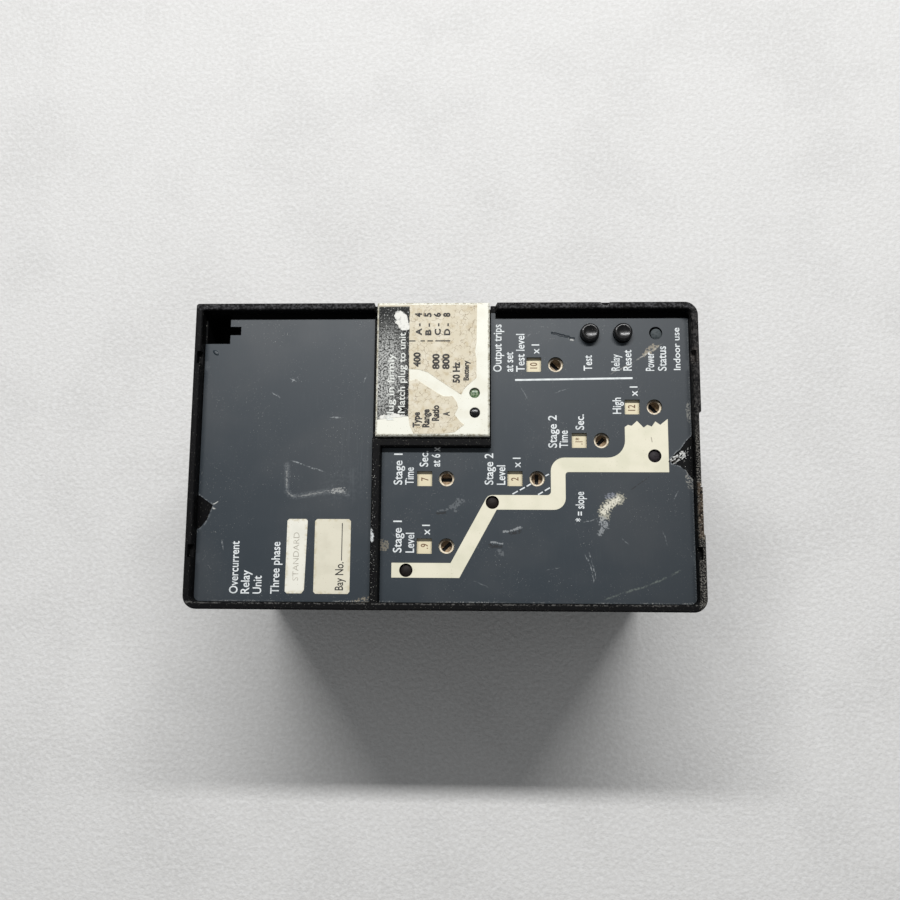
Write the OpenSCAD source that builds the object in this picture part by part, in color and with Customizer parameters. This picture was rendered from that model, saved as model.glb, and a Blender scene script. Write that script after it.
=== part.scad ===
// Solid-state protection relay: a plug-in overcurrent unit with a setting face.
// It lies on its back with the face up. X runs along the face, Y across it and Z out of it.
// The origin is the middle of the back, and all lengths are millimetres.

/* [Case] */
// Length of the face
body_w = 203; // [182:0.5:230]
// Width of the face
body_h = 123; // [110:0.5:140]
// Depth from the back to the rim
depth = 150; // [120:0.5:180]
// Depth of the front moulding
bezel_h = 32; // [31:0.5:36]
// Thickness of the rim and skirt of the front moulding
rim = 2.8; // [2.4:0.1:3.2]
// Chamfer of the outer and inner edges of the rim
rim_chamfer = 0.5; // [0.2:0.1:0.8]
// Wall of the rear housing
wall = 2.4; // [2:0.1:3]
// Thickness of the back
back_t = 2.8; // [2.4:0.1:4]
// How far the rear housing stands in from the front moulding
reveal = 0.8; // [0.4:0.1:1.2]
// Height of the lip that locates the front moulding
lip_h = 4; // [3:0.5:5]
// Length by which that lip is bonded to the housing wall
lip_root = 3; // [2:0.5:5]
// Thickness of that lip
lip_t = 1.5; // [1.2:0.1:2]
// Play between the lip and the skirt
lip_gap = 0.15; // [0.1:0.05:0.3]
// Radius of the three round corners
corner_r = 5.3; // [4.5:0.1:7]
// Radius of the square corner beside the well
sharp_corner_r = 1.2; // [1:0.1:3]
// Chamfer round the back edges
back_chamfer = 2; // [1:0.1:2.4]

/* [Face] */
// Depth of the face labels below the rim
recess = 5.2; // [4.5:0.1:6.5]
// Thickness of the face labels
label_t = 0.5; // [0.3:0.05:0.8]
// Thickness of the moulded floor under the labels
floor_t = 2.2; // [2:0.1:3]
// Play round the labels
label_gap = 0.2; // [0.1:0.05:0.4]
// Width of the channel between the labels and the far rim
channel_w = 2.6; // [1.5:0.1:3.2]
// Depth of that channel
channel_d = 1.2; // [0.6:0.1:1.4]
// Width of the raised divider bars
bar_w = 3.4; // [2.6:0.1:3.8]
// How far the divider bars stay below the rim
bar_drop = 1.5; // [0.5:0.1:3]
// Chamfer of the divider bars
bar_chamfer = 0.4; // [0.2:0.1:0.8]
// How far the divider bar stands outside the plug pocket
bar_offset = 1; // [0.6:0.1:1.2]
// Thickness of the printed trip curve
print_t = 0.1; // [0.05:0.01:0.2]
// Width of the printed trip curve
curve_w = 5.8; // [5.4:0.1:6.4]
// Thickness of stickers and paper labels
sticker_t = 0.12; // [0.08:0.01:0.25]

/* [Rim details] */
// Length of each cover notch in the rim
notch_l = 5; // [4:0.5:7]
// Depth of each cover notch into the rim
notch_in = 1.6; // [1:0.1:2]
// Height of each cover notch
notch_h = 3; // [2:0.1:4]
// Distance of the cover notches from the middle of the face
notch_y = 39; // [36:0.5:42]
// Depth of the strip that has broken off the end rim
break_in = 1; // [0.6:0.1:1.4]
// Height of that strip
break_h = 9; // [6:0.5:12]
// Height of the rim that has crumbled away
crumble_h = 2.6; // [1.5:0.1:4]
// Depth of the nick in the far rim
nick_h = 1.2; // [0.6:0.1:2]

/* [Corner well] */
// Width of the well opening
well_w = 9.6; // [8:0.1:11]
// Length of the well opening up to the far wall
well_l = 12.9; // [11:0.1:15]
// Ledge between the well and the end wall
well_ledge = 0.7; // [0.4:0.1:1.5]
// Length of the key slot beside the well
key_l = 4.4; // [3:0.1:6]
// Width of the key slot
key_w = 3.6; // [3:0.1:4.5]
// Distance of the key slot from the near end of the well
key_in = 3.7; // [2:0.1:5]
// Wall of the well below the floor
well_wall = 1.4; // [1:0.1:2]
// Depth of the well below the floor
well_depth = 16; // [8:0.5:17]

/* [Rating plug] */
// Width of the rating plug
plug_w = 45.4; // [44:0.1:47]
// Height of the near edge of the rating plug above the middle of the face
plug_near_edge = 6.6; // [6:0.1:8]
// Play round the rating plug
plug_gap = 0.35; // [0.25:0.05:0.5]
// How far the rating plug stands above the rim
plug_proud = 0.4; // [0:0.1:1]
// How far the rating plug stays inside the outer face of the far rim
plug_inset = 0.2; // [0.1:0.1:0.6]
// Wall of the rating plug
plug_wall = 1.8; // [1.5:0.1:2.5]
// Thickness of the base of the rating plug
plug_base_t = 2.4; // [2:0.1:3.5]
// Play round the base of the rating plug
plug_base_gap = 0.1; // [0.05:0.05:0.2]
// Wall of the pocket that holds the rating plug
pocket_wall = 2; // [1.6:0.1:2.2]
// Thickness of the pocket floor
pocket_floor_t = 2; // [1.5:0.1:3]
// Depth of the notch in the skirt that the plug head fills
head_h = 10; // [8:0.5:14]
// Bore for the battery lamp and button
plug_hole_d = 4.2; // [4:0.1:4.6]
// Play round the battery lamp and button
plug_hole_gap = 0.2; // [0.15:0.05:0.3]
// Depth of the battery lamp below the plug face
plug_lamp_recess = 0.7; // [0.3:0.1:1.2]
// Depth of the battery button below the plug face
plug_button_recess = 0.4; // [0.2:0.1:0.8]
// Edge bevel of the rating plug
plug_bevel = 0.6; // [0.3:0.1:0.8]
// Height of the plug board above the base of the plug
plug_board_h = 14; // [12:0.5:15]
// Diameter of the posts under the plug board
plug_post_d = 5; // [4:0.1:6]
// Distance of the battery from the middle of the plug
battery_left = 8; // [6:0.5:10]
// Distance of the battery from the far end of the plug
battery_in = 18; // [14:0.5:20]
// Diameter of the battery
battery_d = 11.6; // [10:0.1:12.5]
// Length of the battery
battery_l = 10.8; // [8:0.1:12]
// Play round the battery
battery_gap = 0.15; // [0.1:0.05:0.3]
// Height of the battery holder
holder_h = 7; // [5:0.5:8]
// Wall of the battery holder
holder_wall = 1.2; // [0.8:0.1:1.6]

/* [Dials] */
// Bore in the face for a dial hub
dial_hole_d = 6.2; // [6:0.1:6.6]
// Radial play of the hub in its bore
hub_gap = 0.2; // [0.1:0.05:0.3]
// Side of the square reading window
window = 6; // [5.4:0.1:6.2]
// Distance from a dial to its reading window
window_offset = 8.8; // [8.4:0.1:8.9]
// Thickness of the number disc
disc_t = 1.2; // [1:0.1:1.6]
// Radial play of the number disc in its seat
disc_gap = 0.35; // [0.3:0.05:0.4]
// Running gap above and below a dial
running_gap = 0.25; // [0.2:0.05:0.4]
// Depth of the disc seat in the underside of the floor
dial_seat = 1.2; // [0.8:0.1:1.4]
// Depth of the hub below the label
hub_recess = 1.4; // [0.5:0.1:1.6]
// Diameter of the cup in the hub
cup_d = 4.6; // [4:0.1:5]
// Depth of the cup in the hub
cup_h = 3.4; // [1:0.1:3.6]
// Width of the screwdriver slot
slot_w = 1.5; // [1.2:0.1:2]
// Depth of the screwdriver slot below the cup
slot_d = 1.2; // [0.6:0.1:1.6]
// Diameter of the dial collar
collar_d = 7; // [6.4:0.1:9]
// Diameter of the dial shaft
shaft_d = 4; // [3:0.1:5]
// Length of the dial shaft inside its switch
shaft_in = 4; // [3:0.1:4.5]
// Radial play of the dial shaft in its switch
shaft_gap = 0.05; // [0.02:0.01:0.1]

/* [Lamps and buttons] */
// Diameter of a lamp lens
led_d = 5; // [4.6:0.1:5.2]
// Diameter of the status lamp lens, which is the smaller one
status_led_d = 4.4; // [4:0.1:5]
// Play round a lamp in the face
led_gap = 0.15; // [0.1:0.05:0.3]
// Depth of a lamp below the label
led_recess = 0.6; // [0.4:0.1:2]
// Depth of the status lamp below the label
status_led_recess = 0.2; // [0.1:0.1:1]
// Radius of the crown of a lamp lens
crown_r = 4.5; // [3:0.1:8]
// Height of a lamp from its flange to its crown
led_h = 9; // [8.6:0.1:9.8]
// Thickness and overhang of the lamp flange
led_flange = 0.8; // [0.5:0.1:1]
// Side of a lamp lead
lead_side = 0.5; // [0.4:0.05:0.6]
// Distance between the lamp leads
lead_pitch = 2.54; // [2:0.01:2.8]
// Diameter of a push button
button_d = 7.4; // [6.8:0.1:8]
// Play round a push button
button_gap = 0.2; // [0.15:0.05:0.3]
// Height of a push button above the label
button_proud = 3.4; // [2.6:0.1:4]
// Radius of the round edge of a push button
button_edge_r = 0.9; // [0.5:0.1:1.1]
// Diameter of the finger dish in a push button
dish_d = 5.2; // [4.4:0.1:5.4]
// Depth of that dish
dish_h = 0.45; // [0.2:0.05:0.8]
// Thickness of the flange that keeps a push button in
button_flange_t = 1.2; // [0.8:0.1:1.6]
// Overhang of that flange
button_flange_edge = 0.9; // [0.6:0.1:1.2]
// Diameter of a push button stem
stem_d = 3.4; // [3:0.1:3.8]
// Length of a stem inside its switch at rest
stem_in = 0.6; // [0.4:0.1:1]

/* [Circuit boards] */
// Thickness of the circuit boards
board_t = 1.6; // [1.2:0.1:2]
// Drop from the floor to the front board
front_drop = 12; // [11:0.5:14]
// Cut-off at the corners of the front board
front_corner = 14; // [12:0.5:16]
// Height of the rotary switches
switch_h = 6; // [5:0.1:6.5]
// Side of the rotary switches
switch_side = 12; // [10:0.5:13]
// Floor of the rotary and push switches
switch_floor = 1; // [0.6:0.1:1.4]
// Height of the push switches
tact_h = 4.5; // [4:0.1:5]
// Side of the push switches
tact_side = 6; // [5.5:0.1:7]
// Height of the socket for the rating plug
socket_h = 16; // [14:0.5:18]
// Length of the socket for the rating plug
socket_w = 28; // [26:0.5:30]
// Width of the socket for the rating plug
socket_t = 11; // [10:0.5:12]
// Pitch of the pins of the rating plug
plug_pin_pitch = 5.08; // [4:0.01:5.2]
// Distance between the rows of those pins
plug_row_pitch = 5.08; // [4:0.01:5.2]
// Length of those pins
plug_pin_l = 11; // [8:0.5:14]
// Side of those pins
plug_pin_side = 0.8; // [0.6:0.1:1]
// Play round those pins in their socket
plug_pin_gap = 0.25; // [0.15:0.05:0.3]
// Edge gap of the circuit boards
board_gap = 1.5; // [1:0.1:2]
// Distance of the near and far posts of the front board from the recess edge
front_post_in = 8.7; // [8:0.1:9.5]
// Height of the main board above the back
main_rise = 32; // [26:0.5:36]
// Distance of the board posts in the housing from the recess edge
post_in = 6; // [5.5:0.1:7]
// Distance of the main board posts from the middle
main_post_y = 16; // [12:0.5:20]
// Distance of the logic board posts from the middle
logic_post_y = 34; // [32:0.5:36]
// Thickness of the webs that tie those posts to the end walls
web_t = 2; // [1.5:0.1:3]
// Length of the riser card that joins the logic board and the main board
riser_l = 50; // [40:0.5:56]
// Length by which the riser card enters each of its sockets
riser_in = 6; // [4:0.5:6.5]
// Height of a riser socket
riser_socket_h = 8.5; // [8:0.5:10]
// Width of a riser socket
riser_socket_w = 7; // [6:0.1:9]
// Wall round the slot at the ends of a riser socket
riser_socket_end = 2.5; // [1.5:0.1:4]
// Play of the riser card in its sockets
riser_gap = 0.1; // [0.05:0.05:0.2]

/* [Pieces on the main and logic boards] */
// Diameter of the storage capacitors
capacitor_d = 16; // [12:0.5:18]
// Height of the storage capacitors
capacitor_h = 34; // [24:0.5:36]
// Height of the groove crimped into a capacitor
crimp_h = 2; // [1.5:0.1:3]
// Depth of that groove
crimp_in = 0.7; // [0.4:0.1:1]
// Width of a transformer core
core_w = 24; // [20:0.5:25]
// Length of a transformer core
core_l = 20; // [16:0.5:22]
// Height of a transformer core
core_h = 19; // [14:0.5:24]
// Width of a core leg
core_leg = 3; // [2.5:0.1:4]
// Overhang of a transformer coil
coil_edge = 2.5; // [1.5:0.1:3]
// Distance between the transformers along the face
core_pitch_x = 27; // [26:0.5:30]
// Distance between the transformers across the face
core_pitch_y = 26; // [25.5:0.5:28]
// Length of the processor package
chip_l = 36; // [35:0.5:40]
// Width of the processor package
chip_w = 13.6; // [12:0.1:15]
// Height of the processor package
chip_h = 4; // [3:0.1:5]
// Height of the processor package above its board
chip_lift = 0.8; // [0.5:0.1:1.2]
// Pitch of the processor legs and of the board link pins
leg_pitch = 2.54; // [2.4:0.01:2.6]
// Length of the board link housing
link_l = 32; // [30:0.5:36]
// Width of the board link housing
link_w = 6; // [5:0.1:8]
// Height of the board link housing
link_h = 12; // [8:0.5:16]
// Side of a board link pin
link_pin = 0.64; // [0.5:0.01:0.8]

/* [Rear connector] */
// Length of the connector shroud
shroud_l = 70; // [63:0.5:80]
// Width of the connector shroud
shroud_w = 18; // [16:0.5:22]
// Wall of the connector shroud
shroud_wall = 3; // [2:0.1:3.4]
// Depth of the connector socket
socket_depth = 12; // [10:0.5:14]
// Length of the connector pins
pin_l = 7; // [5:0.5:8]
// Side of the connector pins
pin_side = 1; // [0.8:0.1:1.2]
// Pitch of the connector pins
pin_pitch = 4.2; // [3.8:0.1:4.3]
// Thickness of the connector flange
flange_t = 2.5; // [2:0.1:3.5]
// Overhang of the connector flange
flange_edge = 4; // [3:0.1:5]
// Play round the connector in the back
cutout_gap = 0.2; // [0.1:0.05:0.4]
// Distance of the connector from the near side
connector_in = 33.5; // [28:0.5:37]

/* [Fasteners] */
// Diameter of the case screws
case_screw_d = 4; // [3:0.1:4.4]
// Play round the shank and head of a case screw in its column
case_screw_gap = 0.2; // [0.1:0.05:0.3]
// Diameter of the case screw heads
case_head_d = 7.2; // [6.5:0.1:7.6]
// Height of the case screw heads
case_head_h = 3.2; // [2.5:0.1:4]
// Length of a case screw below its head
case_screw_l = 45; // [30:0.5:60]
// Length of a case screw inside the front moulding
case_grip = 14; // [8:0.5:16]
// Distance of the case screws from the outer edges
screw_in = 7.5; // [7:0.1:8]
// Distance from the end face of the case screw that clears the corner well
screw_past_well = 25.5; // [25:0.5:30]
// Diameter of the columns that take the case screws
column_d = 11; // [10.6:0.1:12]
// Diameter of the bosses under the floor for the case screws
boss_d = 8; // [7:0.1:9]
// Diameter of the board screws
board_screw_d = 2.5; // [2:0.1:3]
// Diameter of the board screw heads
board_head_d = 5; // [4:0.1:5.6]
// Height of the board screw heads
board_head_h = 1.8; // [1.2:0.1:2.4]
// Length of the board screws below their heads
board_screw_l = 9; // [7:0.5:10]
// Play round a screw in its pilot bore
screw_play = 0.1; // [0.05:0.05:0.2]
// Diameter of the posts and bosses that carry the boards
post_d = 6.5; // [6:0.1:7]
// Core bore of the mounting inserts
insert_bore_d = 3.3; // [2.5:0.1:4]
// Outer diameter of the mounting inserts
insert_d = 6; // [5.4:0.1:6.6]
// Length of the mounting inserts
insert_l = 8; // [6:0.5:10]
// Play round the mounting inserts
insert_gap = 0.02; // [0.01:0.01:0.05]
// Wall of the bosses round the mounting inserts
insert_wall = 2; // [1.5:0.1:3]
// Distance between the mounting inserts along the face
insert_pitch_x = 120; // [110:1:130]
// Distance between the mounting inserts across the face
insert_pitch_y = 90; // [84:1:94]

/* [Hidden] */
$fn = 64;
eps = 0.01;
over = 1;
seat_gap = 0.2;

// Levels, from the rim down to the back
z_label = depth - recess;
z_floor = z_label - label_t;
z_under = z_floor - floor_t;
z_bar = depth - bar_drop;
z_split = depth - bezel_h;
z_pocket = z_split + pocket_floor_t;
z_front_board = z_under - front_drop;
z_logic_board = z_split - seat_gap - socket_h;
z_main_board = main_rise;
z_case_seat = z_split + case_grip - case_screw_l;

// Inner edges of the face recess, and the field that the labels cover
in_x = body_w / 2 - rim;
in_y = body_h / 2 - rim;
label_x = in_x - label_gap;
label_y0 = -in_y + label_gap;
label_y1 = in_y - channel_w;

// The settings keep their distance from the end wall, and the name label takes up any change in length
plug_x = in_x - 103.2;
plug_x0 = plug_x - plug_w / 2;
plug_x1 = plug_x + plug_w / 2;
plug_y0 = plug_near_edge;
plug_y1 = body_h / 2 - plug_inset;
plug_inner_y1 = in_y - plug_gap;
plug_centre_y = (plug_y0 + plug_inner_y1) / 2;
plug_z0 = z_pocket + seat_gap;
plug_z1 = depth + plug_proud;
z_head = depth - head_h;
z_plug_board = plug_z0 + plug_board_h;

// Pocket of the rating plug, and the wider gap that it leaves in the far rim
pocket_x0 = plug_x0 - plug_gap;
pocket_x1 = plug_x1 + plug_gap;
pocket_y0 = plug_y0 - plug_gap;
rim_cut_left = 1;
rim_cut_right = 3;
rim_cut_slope = 1;

// Divider bars beside and below the rating plug
bar_x0 = pocket_x0 - bar_offset;
bar_x1 = bar_x0 + bar_w;
bar_y1 = pocket_y0;
bar_y0 = bar_y1 - bar_w;

// Dials: places on the face, and setting steps with eight steps to a turn
step_angle = 360 / 8;
slot_angle_0 = 90;
dial_1 = [in_x - 97.6, -9.7];
dial_2 = [in_x - 97.5, -36.5];
dial_3 = [in_x - 61.6, -9.6];
dial_4 = [in_x - 35.9, 5.8];
dial_5 = [in_x - 14.6, 19.4];
dial_6 = [in_x - 53.8, in_y - 21.8];
dials = [dial_1, dial_2, dial_3, dial_4, dial_5, dial_6];
hub_d = dial_hole_d - 2 * hub_gap;
disc_r = norm([window_offset + window / 2, window / 2]) + 0.05;
z_disc = z_under + dial_seat - running_gap;
z_hub = z_label - hub_recess;
z_collar = z_front_board + switch_h + running_gap;

// Lamps and buttons on the face
led_long = [in_x - 113.4, -46];
led_short = [in_x - 79.4, -19.1];
led_instant = [in_x - 15, -0.4];
led_status = [in_x - 13.3, in_y - 8.8];
status_led_shift = [0.3, -0.2];
lamps = [led_long, led_short, led_instant, led_status];
button_test = [in_x - 40, in_y - 9.1];
button_reset = [in_x - 26.7, in_y - 9];
buttons = [button_test, button_reset];
led_hole_d = led_d + 2 * led_gap;
button_hole_d = button_d + 2 * button_gap;
button_flange_d = button_hole_d + 2 * button_flange_edge;

// Pieces of the rating plug
plug_lamp_at = [plug_x1 - 6, plug_y0 + 17.4];
plug_button_at = [plug_x1 - 5.9, plug_y0 + 9.4];
plug_post_in = plug_wall + 4.9;
plug_posts_at = [for (x = [plug_x0 + plug_post_in, plug_x1 - plug_post_in],
    y = [plug_y0 + plug_post_in, plug_inner_y1 - plug_post_in]) [x, y]];
battery_at = [plug_x - battery_left, plug_inner_y1 - battery_in];
plug_pins_at = [for (i = [-2:2], j = [-0.5, 0.5])
    [plug_x + i * plug_pin_pitch, plug_centre_y + j * plug_row_pitch]];

// Case screws keep clear of the corner well
case_screws_at = [
    [-body_w / 2 + screw_past_well, body_h / 2 - screw_in],
    [body_w / 2 - screw_in, body_h / 2 - screw_in],
    [body_w / 2 - screw_in, -body_h / 2 + screw_in],
    [-body_w / 2 + screw_in, -body_h / 2 + screw_in]
];

// Board fixings and mounting inserts
front_posts_at = [
    [in_x - 116.7, -16], [in_x - 74.7, front_post_in - in_y], [in_x - front_post_in, 23.7 - in_y],
    [in_x - 71.7, in_y - front_post_in], [in_x - 6.7, in_y - 22.7]
];
main_posts_at = [for (sx = [-1, 1], sy = [-1, 1]) [sx * (in_x - post_in), sy * main_post_y]];
logic_posts_at = [for (sx = [-1, 1], sy = [-1, 1]) [sx * (in_x - post_in), sy * logic_post_y]];
inserts_at = [for (sx = [-1, 1], sy = [-1, 1]) [sx * insert_pitch_x / 2, sy * insert_pitch_y / 2]];
insert_boss_d = insert_d + 2 * insert_wall;
insert_boss_h = insert_l + 3;

// Pieces on the main and logic boards
link_at = [in_x - 36.7, -in_y + 14.7];
chip_at = [in_x - 62.7, 8];
riser_at = [in_x - 58.7, -in_y + 38.7];
first_core = [-in_x + 23, -in_y + 18.7];
first_capacitor = [-in_x + 20, in_y - 31];
capacitor_pitch = capacitor_d + 4;

// Corner well
well_x0 = -in_x + well_ledge;
well_x1 = well_x0 + well_w;
well_y0 = in_y - well_l;
key_y0 = well_y0 + key_in;

// Rear connector
connector_at = [0, connector_in - body_h / 2];
connector_rows = 2;
connector_columns = 14;

// Box between two opposite corners
module block(x0, x1, y0, y1, z0, z1) {
    translate([x0, y0, z0]) cube([x1 - x0, y1 - y0, z1 - z0]);
}

// Box of a size, centred on a point and standing on a level
module pad(at, size, z0) {
    translate([at[0] - size[0] / 2, at[1] - size[1] / 2, z0]) cube(size);
}

// Upright cylinder between two levels
module rod(at, d, z0, z1) {
    translate([at[0], at[1], z0]) cylinder(d = d, h = z1 - z0);
}

// Radius of a face corner, drawn in by a distance
function drawn_in(r, inset) = max(r - inset, 0.4);

// Outline of the face, drawn in from its outer edge: one corner of its own radius and three round ones
module face_outline(inset, first_r) {
    hw = body_w / 2 - inset;
    hh = body_h / 2 - inset;
    rs = drawn_in(first_r, inset);
    rc = drawn_in(corner_r, inset);
    polygon([
        [-hw, hh - rs], [-hw + rs, hh], [hw - rc, hh], [hw, hh - rc],
        [hw, -hh + rc], [hw - rc, -hh], [-hw + rc, -hh], [-hw, -hh + rc]
    ]);
    translate([-hw + rs, hh - rs]) circle(r = rs);
    translate([hw - rc, hh - rc]) circle(r = rc);
    translate([hw - rc, -hh + rc]) circle(r = rc);
    translate([-hw + rc, -hh + rc]) circle(r = rc);
}

// Slice of the face outline between two levels
module face_slice(inset, z0, z1, first_r = sharp_corner_r) {
    translate([0, 0, z0]) linear_extrude(z1 - z0) face_outline(inset, first_r);
}

// Chamfered slice of the face outline, whose inset changes from one level to the other
module face_chamfer(inset0, inset1, z0, z1, first_r = sharp_corner_r) {
    hw = body_w / 2 - inset0;
    hh = body_h / 2 - inset0;
    grow = inset0 - inset1;
    h = z1 - z0;
    corners = [[-1, 1, first_r], [1, 1, corner_r], [1, -1, corner_r], [-1, -1, corner_r]];
    translate([0, 0, z0]) {
        difference() {
            intersection() {
                rotate([90, 0, 0]) linear_extrude(2 * body_h, center = true)
                    polygon([[-hw, 0], [hw, 0], [hw + grow, h], [-hw - grow, h]]);
                rotate([90, 0, 90]) linear_extrude(2 * body_w, center = true)
                    polygon([[-hh, 0], [hh, 0], [hh + grow, h], [-hh - grow, h]]);
            }
            for (c = corners) {
                r = drawn_in(c[2], inset0);
                x = c[0] * (hw - r);
                y = c[1] * (hh - r);
                translate([c[0] > 0 ? x : x - 2 * corner_r, c[1] > 0 ? y : y - 2 * corner_r, -over])
                    cube([2 * corner_r, 2 * corner_r, h + 2 * over]);
            }
        }
        for (c = corners) {
            r = drawn_in(c[2], inset0);
            translate([c[0] * (hw - r), c[1] * (hh - r), 0]) cylinder(r1 = r, r2 = r + grow, h = h);
        }
    }
}

// Openings for dials, windows, lamps and buttons, cut between two levels
module face_openings(z0, z1) {
    for (d = dials) {
        rod(d, dial_hole_d, z0, z1);
        pad([d[0] - window_offset, d[1]], [window, window, z1 - z0], z0);
    }
    for (p = lamps) rod(p, led_hole_d, z0, z1);
    for (p = buttons) rod(p, button_hole_d, z0, z1);
}

// Mouth of the corner well with its key slot
module well_mouth(z0, z1) {
    block(well_x0, well_x1, well_y0, in_y, z0, z1);
    block(well_x1 - eps, well_x1 + key_l, key_y0, key_y0 + key_w, z0, z1);
}

// Front moulding: tray, skirt, divider bars, plug pocket, corner well and bosses
module front_bezel() {
    color("#1c1c1f") difference() {
        union() {
            bezel_tray();
            divider_bars();
            block(pocket_x0 - pocket_wall, pocket_x1 + pocket_wall, pocket_y0 - pocket_wall, in_y + eps,
                z_split, z_under + eps);
            block(-in_x - eps, well_x1 + key_l + well_wall, well_y0 - well_wall, in_y + eps,
                z_under - well_depth - well_wall, z_under + eps);
            for (p = case_screws_at) rod(p, boss_d, z_split, z_under + eps);
            for (p = front_posts_at) rod(p, post_d, z_front_board, z_under + eps);
        }
        block(-in_x, in_x, label_y1, in_y, z_floor - channel_d, z_floor + eps);
        plug_pocket();
        well_mouth(z_under - well_depth, depth + over);
        block(well_x0, well_x1 + key_l, well_y0, in_y, z_under - well_depth, z_under);
        face_openings(z_under - over, z_floor + over);
        for (d = dials) rod(d, 2 * (disc_r + disc_gap), z_under - eps, z_under + dial_seat);
        for (p = case_screws_at) rod(p, case_screw_d + screw_play, z_split - over, z_split + case_grip + over);
        for (p = front_posts_at) {
            rod(p, board_screw_d + screw_play, z_front_board - over, z_front_board + board_screw_l);
        }
        cover_notches();
        broken_edge();
    }
}

// Tray of the front moulding: skirt, floor and chamfered rim
module bezel_tray() {
    c = rim_chamfer;
    difference() {
        union() {
            face_slice(0, z_split, depth - c);
            face_chamfer(0, c, depth - c, depth);
        }
        face_slice(rim, z_floor, depth + over);
        face_chamfer(rim, rim - c, depth - c, depth + eps);
        face_slice(rim, z_split - over, z_under);
    }
}

// Bars that divide the face, with chamfered tops
module divider_bars() {
    c = bar_chamfer;
    h = z_bar - z_floor + eps;
    profile = [[0, 0], [bar_w, 0], [bar_w, h - c], [bar_w - c, h], [c, h], [0, h - c]];
    translate([bar_x0, bar_y1, z_floor - eps]) rotate([90, 0, 0])
        linear_extrude(bar_y1 + in_y + eps) polygon(profile);
    translate([bar_x0, bar_y0, z_floor - eps]) rotate([90, 0, 90])
        linear_extrude(pocket_x1 - bar_x0) polygon(profile);
}

// Room for the rating plug: the pocket, the notch in the skirt, the wider gap in the rim and the pin opening
module plug_pocket() {
    y_out = body_h / 2 + over;
    block(pocket_x0, pocket_x1, pocket_y0, in_y, z_pocket, depth + over);
    block(pocket_x0, pocket_x1, in_y - eps, y_out, z_head, depth + over);
    block(pocket_x0 - rim_cut_left, pocket_x0 + eps, in_y - eps, y_out, z_label, depth + over);
    translate([pocket_x1 - eps, y_out, z_label]) rotate([90, 0, 0]) linear_extrude(rim + over + eps)
        polygon([[0, 0], [rim_cut_right - rim_cut_slope, 0], [rim_cut_right, recess + over], [0, recess + over]]);
    pad([plug_x, plug_centre_y], [socket_w - 3, socket_t - 2, pocket_floor_t + 2 * over], z_split - over);
}

// Pockets in the inner edge of both end rims, for the hooks of a cover
module cover_notches() {
    for (sx = [-1, 1], sy = [-1, 1]) {
        pad([sx * in_x, sy * notch_y], [2 * notch_in, notch_l, notch_h + over], depth - notch_h);
    }
}

// Strip broken off the end rim, the crumbled stretch beside it and a nick in the far rim
module broken_edge() {
    x = body_w / 2;
    y = body_h / 2;
    nick_x = in_x - 36.7;
    block(x - break_in, x + over, -13, 16.7, depth - break_h, depth + over);
    translate([x, 0, depth - crumble_h]) linear_extrude(crumble_h + over) polygon([
        [over, -12], [-1.3, -13], [-2, -16.5], [-1.5, -20], [-2.3, -24], [-1.4, -27.5], [-1.8, -30.5], [over, -33]
    ]);
    translate([nick_x, y, depth - nick_h]) linear_extrude(nick_h + over)
        polygon([[0, over], [1.6, -1.2], [3.4, -1.7], [5.2, over]]);
}

// Rear housing: a chamfered box with a locating lip, columns, posts and a connector cut-out
module rear_housing() {
    color("#202023") difference() {
        union() {
            difference() {
                housing_block();
                face_slice(reveal + wall, back_t, z_split + over, corner_r);
            }
            locating_lip();
            for (p = case_screws_at) intersection() {
                rod(p, column_d, 0, z_split);
                housing_block();
            }
            for (p = main_posts_at) rod(p, post_d, back_t - eps, z_main_board - board_t);
            for (p = logic_posts_at) logic_post(p);
            for (p = inserts_at) rod(p, insert_boss_d, back_t - eps, insert_boss_h);
        }
        for (p = case_screws_at) {
            rod(p, case_screw_d + 2 * case_screw_gap, -over, z_split + over);
            rod(p, case_head_d + 2 * case_screw_gap, -over, z_case_seat);
        }
        for (p = main_posts_at) {
            rod(p, board_screw_d + screw_play, z_main_board - board_t - board_screw_l, z_main_board);
        }
        for (p = logic_posts_at) {
            rod(p, board_screw_d + screw_play, z_logic_board - board_t - board_screw_l, z_logic_board);
        }
        for (p = inserts_at) rod(p, insert_d + 2 * insert_gap, -over, insert_l);
        pad(connector_at, [shroud_l + 2 * cutout_gap, shroud_w + 2 * cutout_gap, back_t + 2 * over], -over);
    }
}

// Tall post for the logic board, tied to the end wall by a web
module logic_post(at) {
    z1 = z_logic_board - board_t;
    wall_x = body_w / 2 - reveal - wall + eps;
    x0 = at[0] > 0 ? at[0] : -wall_x;
    x1 = at[0] > 0 ? wall_x : at[0];
    rod(at, post_d, back_t - eps, z1);
    block(x0, x1, at[1] - web_t / 2, at[1] + web_t / 2, back_t - eps, z1);
}

// Outside of the rear housing, round at all corners and chamfered along the back
module housing_block() {
    face_chamfer(reveal + back_chamfer, reveal, 0, back_chamfer, corner_r);
    face_slice(reveal, back_chamfer, z_split, corner_r);
}

// Lip that enters the skirt of the front moulding, cut away at its bosses and pocket
module locating_lip() {
    difference() {
        face_slice(rim + lip_gap, z_split - lip_root, z_split + lip_h);
        face_slice(rim + lip_gap + lip_t, z_split - lip_root - over, z_split + lip_h + over);
        for (p = case_screws_at) rod(p, boss_d + 1, z_split, z_split + lip_h + over);
        block(pocket_x0 - pocket_wall - 0.5, pocket_x1 + pocket_wall + 0.5, 0, body_h, z_split, depth);
    }
}

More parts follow.
